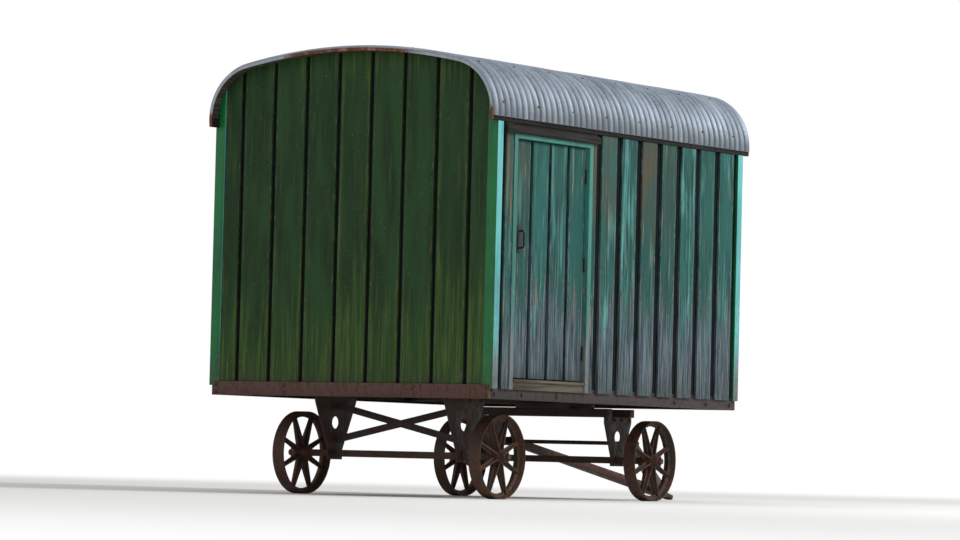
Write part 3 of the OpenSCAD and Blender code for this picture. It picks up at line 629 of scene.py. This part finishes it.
def nails(bm, outward, heights, rng, inset=32 * MM, radius=4.5 * MM, onto=None):
    """Rows of nail heads, two to a wide board, on the faces of the boards or of what lies on them."""
    across = Z.cross(outward)
    faces = BVHTree.FromBMesh(onto or bm)
    heads = bmesh.new()
    for low, high, _ in spans(bm, across):
        places = [low + inset, high - inset] if high - low > 4 * inset else [(low + high) / 2]
        for height in heights:
            for place in places:
                spot = across * (place + rng.uniform(-4, 4) * MM) + Z * (height + rng.uniform(-6, 6) * MM)
                hit = faces.ray_cast(spot + outward * FAR_OUT, -outward)[0]
                if hit:
                    cone(heads, seat(hit + outward * HEAD_LIFT, outward), 10, radius, 0.55 * radius, 2 * MM)
    return heads


NAIL_HEIGHTS = (0.86, 1.42, 2.02, 2.58)
BOARD_WALLS = {
    "near_end_boards": (-X, "green_boards", GREEN, 200),
    "far_end_boards": (X, "green_boards", GREEN, 201),
    "back_boards": (Y, "teal_boards", TEAL, 202),
    "front_boards_near": (-Y, "teal_boards", TEAL, 203),
    "front_boards_far": (-Y, "teal_boards", TEAL, 3376),
}
for number, (node, (outward, slot, finish_of, seed)) in enumerate(BOARD_WALLS.items()):
    rng = Random(100 + number)
    bm = cad_shape(node)
    weather_boards(bm, outward, rng, ragged=3 * MM if slot == "teal_boards" else MM)
    heads = nails(bm, outward, NAIL_HEIGHTS, rng)
    soften(bm, 2.5)
    mark_edges(bm, Z.cross(outward))
    finish(bm, node + "_weathered", finish_of, [node], tones=Random(seed))
    finish(heads, node + "_nails", NAIL)

# %% [markdown]
# ## Corner trims, casing and door
# These are planed boards that stand proud of the cladding. They don't cup as a wide board does, so a soft
# edge and their own numbers are enough. The door's parts ride on the body `door`, and swing with it.

# %% Trims, casing, cap and sill


def dress(node, material, width, seed, body="root", angle=35, test=None):
    """A node whose shape is right, with softened edges and a number for each solid."""
    bm = cad_shape(node)
    soften(bm, width)
    if test:
        second_finish(bm, test)
    finish(bm, node + "_dressed", material, [node], body, angle, Random(seed))


for number, node in enumerate(("near_corner_trims", "far_corner_trims")):
    # Faces along the long sides get the pale paint, which is painted sunlight.
    dress(node, [TRIM_END, TRIM_SIDE_SUNLIT], 3, 11 + number,
          test=lambda spot, normal: abs(normal.y) > 0.7)
dress("door_frame", CASING, 2.5, 13)
dress("drip_cap", TARRED, 3, 14)
dress("door_sill", SILL, 4, 15)

# %% [markdown]
# The leaf is boarded like the walls, so its boards cup and carry nails too. Its inside shows ledges and
# braces of plain softwood, held by clenched nails: those lines are shot from the boards onto the ledges.
# The backing's outer face shows only as a dark line in the seams, and its near black is painted shade.

# %% Door leaf
rng = Random(20)
bm = cad_shape("door_boards")
weather_boards(bm, -Y, rng, cup=1.2 * MM)
bracing = cad_shape("door_bracing")
lo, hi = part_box("door_bracing")
ledges = (lo.z + 50 * MM, (lo.z + hi.z) / 2, hi.z - 50 * MM)
heads = nails(bm, -Y, ledges, rng, radius=4 * MM)
clenched = nails(bm, Y, ledges, rng, radius=4 * MM, onto=bracing)
bracing.free()
soften(bm, 2)
mark_edges(bm, X)
finish(bm, "door_boards_weathered", TEAL, ["door_boards"], "door", tones=Random(813))
finish(heads, "door_nails", NAIL, body="door")
finish(clenched, "ledge_nails", NAIL, body="door")
# The leaf's outer face is nearly black: painted shade in the seams between its boards.
dress("door_leaf", [LINING, SEAM_SHADE], 1.5, 21, "door", test=lambda spot, normal: normal.y < -0.5)
dress("door_bracing", LINING, 3, 22, "door")
dress("door_handle", FITTINGS, 0.8, 23, "door", angle=50)
dress("hinge_door_halves", FITTINGS, 0.4, 24, "door", angle=50)
dress("hinge_jamb_halves", FITTINGS, 0.4, 25, angle=50)

# %% [markdown]
# ## Lining boards inside the walls
# Each wall panel of the construction model stands in for a frame, its filling and the lining inside. To
# show the lining as boards, the panel is cut by parallel planes, as a saw would cut a plank into laths, and
# each part gets a small bevel, which leaves a V-groove between two neighbours. The faces on the outside
# lie behind the seams of the cladding, so they are nearly black as painted shade, and so are the floor's
# edges.

# %% Cut the panels into lining boards
LINING_W, FLOOR_W, NARROWEST = 140 * MM, 145 * MM, 0.2  # the last is a share of a board's width


def sawn(node, axis, width, edge, offset=0.0, kerf=0.6 * MM):
    """A node cut along an axis into boards of one width, each a closed solid. edge is for soften."""
    whole = cad_shape(node)
    side = [v.co.dot(axis) for v in whole.verts]
    low, high = min(side), max(side)
    first = ceil((low - offset) / width) * width + offset
    cuts = [first + width * i for i in range(int((high - first) / width + 1))]
    cuts = [c for c in cuts if low + NARROWEST * width < c < high - NARROWEST * width]
    boards = bmesh.new()
    for a, b in zip([None, *cuts], [*cuts, None]):
        part = whole.copy()
        for place, keep in ((a, 1), (b, -1)):
            if place is None:
                continue
            cut = bmesh.ops.bisect_plane(part, geom=all_of(part), dist=WELD, clear_inner=True,
                                         plane_co=axis * (place + keep * kerf / 2), plane_no=axis * keep)
            rim = [g for g in cut["geom_cut"] if isinstance(g, bmesh.types.BMEdge)]
            bmesh.ops.holes_fill(part, edges=rim, sides=0)
        soften(part, edge, 1)
        join(boards, part)
    whole.free()
    bmesh.ops.recalc_face_normals(boards, faces=boards.faces)
    return boards


WALL_PANELS = ("near_end_wall", "far_end_wall", "back_wall", "front_wall_near", "front_wall_far",
               "front_wall_head")
shell_lo, shell_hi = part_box("near_end_wall")[0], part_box("far_end_wall")[1]
OUTER = 4 * MM  # how near the outside of the walls a face has to be


def in_the_weather(spot, normal):
    """Whether a face of the walls lies on their outside."""
    depths = (spot.x - shell_lo.x, shell_hi.x - spot.x, spot.y - shell_lo.y, shell_hi.y - spot.y)
    return min(depths) < OUTER


for number, node in enumerate(WALL_PANELS):
    along, offset = (Y, LINING_W / 2) if "_end_" in node else (X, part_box("back_boards")[0].x)
    bm = sawn(node, along, LINING_W, 3, offset)
    # The outer faces are nearly black: painted shade in the seams of the cladding.
    second_finish(bm, in_the_weather)
    finish(bm, node + "_lined", [LINING, SEAM_SHADE], [node], tones=Random(30 + number))

bm = sawn("floor", Y, FLOOR_W, 2)
# The floorboards' edges are nearly black: painted shade between the boards.
second_finish(bm, lambda spot, normal: abs(normal.z) < 0.9)
finish(bm, "floorboards", [PLANKS, SEAM_SHADE], ["floor"], tones=Random(40))

# %% [markdown]
# ## The line of the roof
# The roof is a three-centred arch, two tight shoulders and a flatter crown that meet without a kink. Every
# piece of the roof is made flat, with its length along X, its place over the arch as a distance from the
# top, and its height above the roof line. Then it is rolled to the arch, much as the real sheets went
# through rollers. A curve modifier could do this too, but it would stay live on each piece.

# %% Roll flat pieces to the arch
HALF_SPAN, Z_SPRING, RISE, SHOULDER_R = 1.224, 2.695, 0.476, 0.385
SHOULDER_Y = HALF_SPAN - SHOULDER_R
CROWN_HALF = 2 * atan2(RISE - SHOULDER_R, SHOULDER_Y)
CROWN_R = SHOULDER_R + SHOULDER_Y / sin(CROWN_HALF)
Z_CROWN = Z_SPRING - (CROWN_R - SHOULDER_R) * cos(CROWN_HALF)
CROWN_ARC = CROWN_R * CROWN_HALF
ARC = CROWN_ARC + SHOULDER_R * (pi / 2 - CROWN_HALF)


def on_arch(place, out):
    """Y and Z of a point at a distance over the arch from its top, and outside the roof line."""
    side, along = (1, place) if place > 0 else (-1, -place)
    if along < CROWN_ARC:
        angle, r, y, z = along / CROWN_R, CROWN_R + out, 0, Z_CROWN
    else:
        angle, r, y, z = CROWN_HALF + (along - CROWN_ARC) / SHOULDER_R, SHOULDER_R + out, SHOULDER_Y, Z_SPRING
    angle = min(angle, pi / 2)
    return side * (y + r * sin(angle)), z + r * cos(angle) - max(0, along - ARC)


def roll(bm):
    """Bends what was made flat over the arch."""
    for v in bm.verts:
        v.co.y, v.co.z = on_arch(v.co.y, v.co.z)
    bmesh.ops.recalc_face_normals(bm, faces=bm.faces)


def laths(bm, x, edges, out, gap=1 * MM, bend=40 * MM):
    """Flat boards side by side over the arch, with loops close enough to follow it."""
    for low, high in zip(edges, edges[1:]):
        block(bm, (x[0], low + gap / 2, out[0]), (x[1], high - gap / 2, out[1]))
    cut_across(bm, Y, steps(edges[0], edges[-1], bend))


print("half the arch is", round(ARC, 3), "m long and the crown's radius is", round(CROWN_R, 3), "m")

# %% [markdown]
# ## Roof boards, bows and fascia
# Inside, thin boards run the length of the hut over five bent bows. From the door one looks up at them, so
# they get real joints. Where they reach past the end walls the weather has turned them grey-brown, so each
# is cut there by a plane and its outer ends get a second finish. The fascia below them is tarred and shows
# as the dark band under the sheets.

# %% Timber of the roof
TRIM_T, BOARD_T, BOW = 6 * MM, 20 * MM, 45 * MM
FASCIA_Y, FASCIA_FOOT = 1.193, 2.635  # its inner face and its lower edge
board_x = (ROOF_START + TRIM_T, ROOF_START + ROOF_LENGTH - TRIM_T)
for number, (node, low, high, n) in enumerate((("back_roof_boards", CROWN_ARC, ARC, 5),
                                               ("crown_roof_boards", -CROWN_ARC, CROWN_ARC, 16),
                                               ("front_roof_boards", -ARC, -CROWN_ARC, 5))):
    bm = bmesh.new()
    laths(bm, board_x, [low + (high - low) * i / n for i in range(n + 1)], (-BOARD_T, 0))
    soften(bm, 1.5)
    cut_across(bm, X, (shell_lo.x, shell_hi.x))
    roll(bm)
    second_finish(bm, lambda spot, normal: not shell_lo.x < spot.x < shell_hi.x)
    finish(bm, node + "_rolled", [ROOF_LINING, VERGE], [node], tones=Random(50 + number))

for side, name in ((-1, "front_fascia"), (1, "back_fascia")):
    bm = bmesh.new()
    y = sorted((side * FASCIA_Y, side * HALF_SPAN))
    block(bm, (board_x[0], y[0], FASCIA_FOOT), (board_x[1], y[1], Z_SPRING))
    soften(bm, 2)
    finish(bm, name, TARRED, tones=Random(56))

bm = bmesh.new()
for low, high, _ in spans(cad_shape("roof_bows"), X):
    laths(bm, (low, high), [-ARC, ARC], (-BOARD_T - BOW, -BOARD_T), 0)
soften(bm, 4)
roll(bm)
finish(bm, "roof_bows_bent", BOWS, ["roof_bows"], tones=Random(57))

# %% [markdown]
# ## Corrugated sheets
# A corrugated sheet is thin steel rolled to a wave 76 mm long and 18 mm deep. Here a flat grid gets the
# wave, is rolled over the arch and is then made solid, 1.5 mm thick. Six sheets lie side by side, and each
# second one laps over its neighbours by one wave, so the laps are real steps. Old sheets are never quite
# true: each is a little dented, at random places.

# %% Rolled sheets
WAVE, SHEET_T, LAP, CLEAR = 18 * MM, 1.5 * MM, 1.8 * MM, 0.3 * MM
WAVES_EACH, WAVE_COLUMNS = 8, 10
EAVE, TIGHT_BEND, WIDE_BEND = 30 * MM, 26 * MM, 110 * MM
DENTS, DENT_R, ROOM_Z = 14, 0.16, 1.5  # dents in a sheet, their radius, and a height inside the room
rows = [-ARC - EAVE, -ARC, *steps(-ARC, -CROWN_ARC, TIGHT_BEND), -CROWN_ARC]
rows = [*rows, *steps(-CROWN_ARC, CROWN_ARC, WIDE_BEND), *(-row for row in reversed(rows))]
rng = Random(60)
roof = bmesh.new()
for number in range(ceil(WAVE_N / WAVES_EACH)):
    first, last = number * WAVES_EACH, min((number + 1) * WAVES_EACH + 1, WAVE_N)
    columns = (last - first) * WAVE_COLUMNS
    bm = bmesh.new()
    bmesh.ops.create_grid(bm, x_segments=columns, y_segments=len(rows) - 1, size=0.5)
    lift = CLEAR + (number % 2) * LAP + SHEET_T
    dents = [(rng.uniform(-ARC, ARC), rng.uniform(first, last), rng.uniform(0.3, 1.0) * MM)
             for _ in range(DENTS)]
    for v in bm.verts:
        wave = first + (v.co.x + 0.5) * (last - first)
        place = rows[round((v.co.y + 0.5) * (len(rows) - 1))]
        sink = sum(d * max(0, 1 - hypot(place - p, (wave - w) * PITCH) / DENT_R) for p, w, d in dents)
        v.co = (ROOF_START + wave * PITCH, place, lift + WAVE / 2 * (1 - cos(tau * wave)) - sink)
    roll(bm)
    for face in bm.faces:
        middle = face.calc_center_median()
        if face.normal.dot(middle - Vector((middle.x, 0, ROOM_Z))) < 0:
            face.normal_flip()
    bmesh.ops.solidify(bm, geom=bm.faces[:], thickness=SHEET_T)
    number_boards(bm, rng)
    join(roof, bm)
finish(roof, "corrugated_sheets", ZINC, ["roof_sheets"], angle=50)

# %% [markdown]
# The sheets are held by square-headed drive screws over curved washers, always through a crest, because a
# hole in a hollow would leak. They stand six waves apart, as the photograph shows them.

# %% Roof fixings
ROW_AT = (0.46, CROWN_ARC + 0.1, CROWN_ARC + SHOULDER_R * (radians(80) - CROWN_HALF))
WAVES_APART = 6
WASHER, HEAD = (11 * MM, 5 * MM, 2.4 * MM), (6.5 * MM, 5.5 * MM, 3 * MM)  # foot, top and height
SUNK, HEAD_UP = 1.2 * MM, 2.2 * MM  # a washer's middle below the crest, a head's above the washer's
bm = bmesh.new()
for place in (*(-row for row in reversed(ROW_AT)), *ROW_AT):
    for crest in range(1, WAVE_N, WAVES_APART):
        x = ROOF_START + (crest + 0.5) * PITCH
        y, z = on_arch(place, WAVE + SHEET_T + LAP)
        y2, z2 = on_arch(place, 0)
        up = Vector((0, y - y2, z - z2)).normalized()
        washer = seat(Vector((x, y, z)) - up * SUNK, up)
        cone(bm, washer, 12, *WASHER)
        cone(bm, washer @ Matrix.Translation((0, 0, HEAD_UP)) @ any_turn(rng), 4, *HEAD)
finish(bm, "roof_fixings", NAIL, tones=rng)

# %% [markdown]
# A strip of thin steel is bent round each end of the roof boards to close them. Water stands on its flat
# crown and drips from its feet, so it has rusted there, and its zinc is left on the steep shoulders.

# %% Edge strips
STRIP_FOOT, STRIP_DEEP = 60 * MM, 22 * MM
bm = bmesh.new()
for low, high, _ in spans(cad_shape("roof_edge_trims"), X):
    laths(bm, (low, high), [-ARC - STRIP_FOOT, ARC + STRIP_FOOT], (-STRIP_DEEP, 0), 0, TIGHT_BEND)
soften(bm, 1.2)
roll(bm)
finish(bm, "roof_edge_strips", STRIP, ["roof_edge_trims"], tones=rng)

# %% [markdown]
# ## Cast wheels
# Each wheel was cast in one piece: a T-section rim, a stepped hub and eight spokes with a cross-shaped
# section that thins towards the rim. The rim and the hub are profiles spun round the axle. A spoke starts
# as a cross-shaped outline, is extruded outwards while it shrinks, and its inner corners are beveled into
# the fillets that a founder needs to draw the pattern from the sand.

# %% Spin and extrude a wheel
WHEEL_R, RIM_HALF, HUB_HALF, SPOKES = 0.300, 0.050, 0.075, 8
RIM_LINE = [(0.260, 0.007), (0.279, 0.007), (0.2845, 0.0095), (0.288, 0.015), (0.292, RIM_HALF - 0.002),
            (0.294, RIM_HALF), (0.298, RIM_HALF), (WHEEL_R, RIM_HALF - 0.002)]
HUB_LINE = [(0.0225, HUB_HALF), (0.038, HUB_HALF), (0.040, HUB_HALF - 0.002), (0.040, HUB_HALF - 0.014),
            (0.051, 0.037), (0.052, 0.035), (0.052, 0.016), (0.055, 0.0145), (0.058, 0.010)]
SPOKE_ROOT, SPOKE_TIP, CORE = 0.046, WHEEL_R - 0.018, Vector((0, 0.006, 0.0055))
RIBS_Y, RIBS_Z = (0.039, 0.018), (0.023, 0.015)  # how far a spoke's ribs reach, at its root and at its tip


def spun(bm, half, count):
    """Spins a closed outline round the Y axis. It is given as radius and Y, for Y above 0."""
    line = half + [(r, -y) for r, y in reversed(half)]
    verts = [bm.verts.new((r, y, 0)) for r, y in line]
    edges = [bm.edges.new(pair) for pair in zip(verts, verts[1:] + verts[:1])]
    bmesh.ops.spin(bm, geom=verts + edges, cent=(0, 0, 0), axis=Y, angle=tau, steps=count, use_merge=True)


def cast_wheel(centre):
    """One spoke, copied round the axle, then the rim and the hub."""
    bm = bmesh.new()
    block(bm, SPOKE_ROOT * X - CORE, SPOKE_TIP * X + CORE)
    bm.normal_update()
    for face in [f for f in bm.faces if abs(f.normal.x) < 0.5]:
        out = face.normal.copy()
        at_root, at_tip = RIBS_Y if abs(out.y) > 0.5 else RIBS_Z
        for v in bmesh.ops.extrude_discrete_faces(bm, faces=[face])["faces"][0].verts:
            v.co += out * ((at_tip if v.co.x > WHEEL_R / 2 else at_root) - abs(v.co.dot(out)))
    bm.normal_update()
    bevel(bm, [e for e in bm.edges if e.calc_face_angle(0) > 1 and not e.is_convex], 5 * MM, 2)
    soften(bm, 1.5, 1, 60)
    step = tau / SPOKES
    bmesh.ops.rotate(bm, verts=bm.verts, matrix=Matrix.Rotation(step / 2, 3, "Y"))
    bmesh.ops.spin(bm, geom=all_of(bm), cent=(0, 0, 0), axis=Y, angle=tau - step, steps=SPOKES - 1,
                   use_duplicate=True)
    spun(bm, RIM_LINE, 96)
    spun(bm, HUB_LINE, 48)
    bmesh.ops.recalc_face_normals(bm, faces=bm.faces)
    bmesh.ops.translate(bm, verts=bm.verts, vec=centre)
    return bm


for number, node in enumerate(("wheel_near_front", "wheel_near_back", "wheel_far_front", "wheel_far_back")):
    lo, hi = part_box(node)
    bm = cast_wheel((lo + hi) / 2)
    finish(bm, node + "_cast", CAST, [node], angle=40, tones=Random(70 + number))

# %% [markdown]
# ## Chassis and running gear
# Rolled channels, flat plates and forged bars keep the shapes that the construction model gives them. Only
# their edges change: the rolls and the flame leave a radius, never a knife edge.

# %% Chassis steel
CHASSIS_PIECES = (
    ("near_end_rail far_end_rail", "rusty_steel", OXIDE, 3),
    # The side rails are near black: painted shade under the boards.
    ("front_side_rail back_side_rail", "chassis_steel", OXIDE_IN_SHADE, 3),
    ("cross_members", "chassis_steel", CHASSIS, 2.5),
    ("near_axle_stands fore_carriage turntable_ring", "chassis_steel", CHASSIS, 1.5),
    ("near_axle far_axle", "cast_iron", CAST, 3),
    ("drawbar tow_eye", "cast_iron", CAST, 4),
)
seed = 80
for nodes, slot, material, width in CHASSIS_PIECES:
    for node in nodes.split():
        dress(node, material, width, seed, angle=40)
        seed += 1

# %% [markdown]
# A channel is open at its ends, so a plate is welded into each end of the two end rails, a little inside
# the edge. It closes the corner of the frame, where one would otherwise look in under the floor. Behind it
# a splice plate bridges the joint to the side rail.

# %% End plates
PLATE, SPLICE, SPLICE_REACH = (4, 10), (10.5, 14), (-12, 25)  # depths from the side and reach, in mm
PLATE_IN, SPLICE_IN = 3 * MM, 7 * MM  # how far inside the rail their edges stay
bm = bmesh.new()
for node, inward in (("near_end_rail", 1), ("far_end_rail", -1)):
    lo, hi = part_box(node)
    joint_x = hi.x if inward > 0 else lo.x
    for side in (-1, 1):
        y = sorted(side * (hi.y - depth * MM) for depth in PLATE)
        block(bm, (lo.x + PLATE_IN, y[0], lo.z + PLATE_IN), (hi.x - PLATE_IN, y[1], hi.z - PLATE_IN))
        x = sorted(joint_x + inward * reach * MM for reach in SPLICE_REACH)
        y = sorted(side * (hi.y - depth * MM) for depth in SPLICE)
        block(bm, (x[0], y[0], lo.z + SPLICE_IN), (x[1], y[1], hi.z - SPLICE_IN))
soften(bm, 1, 1)
finish(bm, "rail_end_plates", OXIDE, tones=Random(89))

# %% [markdown]
# The frame is bolted up. A bolt shows as a washer and a hexagon head, whose corners are chamfered. One is
# shaped, then copied to each seat, and each copy is turned by chance, as a spanner leaves it. To find a
# seat, a line is shot at the steel, so that every head sits on the face that it clamps.

# %% Bolts


def bolt_shape(size):
    """A washer and a hexagon head that stand on Z = 0. size is half the width over the corners."""
    bm = bmesh.new()
    cone(bm, Matrix.Translation((0, 0, 0.1 * size)), 14, 1.2 * size, 1.1 * size, 0.25 * size)
    cone(bm, Matrix.Translation((0, 0, 0.5 * size)), 6, size, size, 0.6 * size)
    top = [e for e in bm.edges if all(v.co.z > 0.7 * size for v in e.verts)]
    bevel(bm, top, 0.13 * size, 1)
    return mesh_of(bm, "bolt")


def seats_on(node, lines):
    """Where lines, each a place and an aim, first meet a node, and which way is out from there."""
    solid = cad_shape(node)
    faces = BVHTree.FromBMesh(solid)
    solid.free()
    return [(faces.ray_cast(Vector(start), aim)[0], -aim) for start, aim in lines]


def bolted(name, material, size, seats, rng):
    """Copies a bolt to seats, each a place and the way out."""
    shape, bm = bolt_shape(size), bmesh.new()
    for place, out in seats:
        fresh = len(bm.verts)
        bm.from_mesh(shape)
        bm.verts.ensure_lookup_table()
        bmesh.ops.transform(bm, matrix=seat(place, out) @ any_turn(rng), verts=bm.verts[fresh:])
    bpy.data.meshes.remove(shape)
    finish(bm, name, material, angle=30, tones=rng)


NEAR_AXLE, FAR_AXLE = (sum(corner.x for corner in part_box(node)) / 2 for node in ("near_axle", "far_axle"))
OFF, IN_FROM_END = 9, 0.03  # where the lines start, well off the hut, and a bolt's place from a rail's end
END_RAIL_Y, END_RAIL_Z = (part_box("near_end_rail")[1].y - IN_FROM_END, 0.56), (0.722, 0.778)
CROSS_AT, SIDE_RAIL_Z = (-0.230, 0.230), 0.735  # beside each axle, in a row below the side boards
rng = Random(90)
for node, aim in (("near_end_rail", X), ("far_end_rail", -X)):
    lines = [((-OFF * aim.x, side * y, z), aim) for side in (-1, 1) for y in END_RAIL_Y for z in END_RAIL_Z]
    bolted(node + "_bolts", OXIDE, 13 * MM, seats_on(node, lines), rng)
# The side rails' bolts are near black too: painted shade under the boards.
for node, aim in (("front_side_rail", Y), ("back_side_rail", -Y)):
    lo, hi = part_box(node)
    places = [lo.x + IN_FROM_END, hi.x - IN_FROM_END]
    places += [axle + off for axle in (NEAR_AXLE, FAR_AXLE) for off in CROSS_AT]
    lines = [((x, -OFF * aim.y, SIDE_RAIL_Z), aim) for x in places]
    bolted(node + "_bolts", OXIDE_IN_SHADE, 13 * MM, seats_on(node, lines), rng)

# On the stands: a row of four under the top flange, and one on each side of the axle.
STANDS = {"near_axle_stands": (NEAR_AXLE, 0.225, 0.698), "fore_carriage": (FAR_AXLE, 0.160, 0.602)}
CLAMP_X, CLAMP_Z = (-0.055, 0.055), 0.272
for node, (axle, half, row_z) in STANDS.items():
    spots = [(x, row_z) for x in (-half, -half / 3, half / 3, half)] + [(x, CLAMP_Z) for x in CLAMP_X]
    lines = [((axle + x, -OFF * aim.y, z), aim) for aim in (Y, -Y) for x, z in spots]
    bolted(node + "_bolts", CHASSIS, 12 * MM, seats_on(node, lines), rng)
PIVOT = Vector((FAR_AXLE + 0.250, 0, 0.430))
WASHER_Y = 0.572
nuts = [(PIVOT + side * WASHER_Y * Y, side * Y) for side in (-1, 1)]
bolted("drawbar_nuts", CAST, 22 * MM, nuts, rng)

# %% [markdown]
# ## Camera
# The photograph was taken from far off with a long lens, low and level with the wheels, and the camera was
# held a little askew. The same place and angle are kept here, with a longer lens to fill the frame.

# %% The photograph's view
azimuth, pitch, lean = -0.9897, 0.0444, 0.0247  # in radians
viewpoint, photo_lens, closer = (-27.72, -17.851, 0.237), 109.9, 1.5
ahead = Vector((-sin(azimuth) * cos(pitch), cos(azimuth) * cos(pitch), sin(pitch)))
level = Vector((cos(azimuth), sin(azimuth), 0))
upward = level.cross(ahead)
right = level * cos(lean) + upward * sin(lean)
top = upward * cos(lean) - level * sin(lean)
camera = new_object("camera", bpy.data.cameras.new("camera"))
turn = Matrix((right, top, -ahead)).transposed().to_4x4()
camera.matrix_world = Matrix.Translation(viewpoint) @ turn
camera.data.sensor_width = 36
camera.data.lens = photo_lens * closer
camera.data.clip_end = 500
bpy.context.scene.camera = camera
print("camera looks along", [round(c, 3) for c in ahead])

# %% [markdown]
# ## Light and floor
# A large soft key light stands for the veiled sun on the door side. The white surroundings fill the rest.
# What the lens sees of them is pure white, but they light the hut more weakly, or it would look washed
# out. The floor fades into that white with distance, so that no horizon shows.

# %% Studio
FILL, KEY_WATTS, FLOOR_HALF = 0.62, 1700, 200
world = bpy.data.worlds.new("studio")
bpy.context.scene.world = world
world.use_nodes = True
tree = world.node_tree
tree.nodes.clear()
rays = add_node(tree, "LightPath").node.outputs
seen = sum_of(tree, *((rays[f"Is {kind} Ray"], 1) for kind in ("Camera", "Glossy", "Transmission")))
strength = cover(tree, (seen, 0, 1, FILL, 1))
sky = add_node(tree, "Background", {"Color": linear("#ffffff"), "Strength": strength})
add_node(tree, "OutputWorld", {"Surface": sky})

key = new_object("key", bpy.data.lights.new("key", "AREA"))
key.data.size = 5
key.data.energy = KEY_WATTS
key.location = (3.5, -13, 10)
key.rotation_euler = (Vector((-0.5, 0, 1.5)) - key.location).to_track_quat("-Z", "Y").to_euler()

material, tree = new_material("Pale studio floor")
spot = add_node(tree, "TexCoord").node.outputs["Object"]
away = add_node(tree, "VectorMath", (spot,), operation="LENGTH").node.outputs["Value"]
fade = cover(tree, (away, 5, 22))
tone = add_node(tree, "BsdfDiffuse", {"Color": linear("#efefed")})
glow = add_node(tree, "Emission", {"Color": linear("#ffffff"), "Strength": 1.0})
add_node(tree, "OutputMaterial", {"Surface": add_node(tree, "MixShader", (fade, tone, glow))})
bm = bmesh.new()
bmesh.ops.create_grid(bm, x_segments=1, y_segments=1, size=FLOOR_HALF)
studio_floor = new_object("studio_floor", mesh_of(bm, "studio_floor"))
studio_floor.data.materials.append(material)
bpy.context.scene.view_settings.view_transform = "Standard"
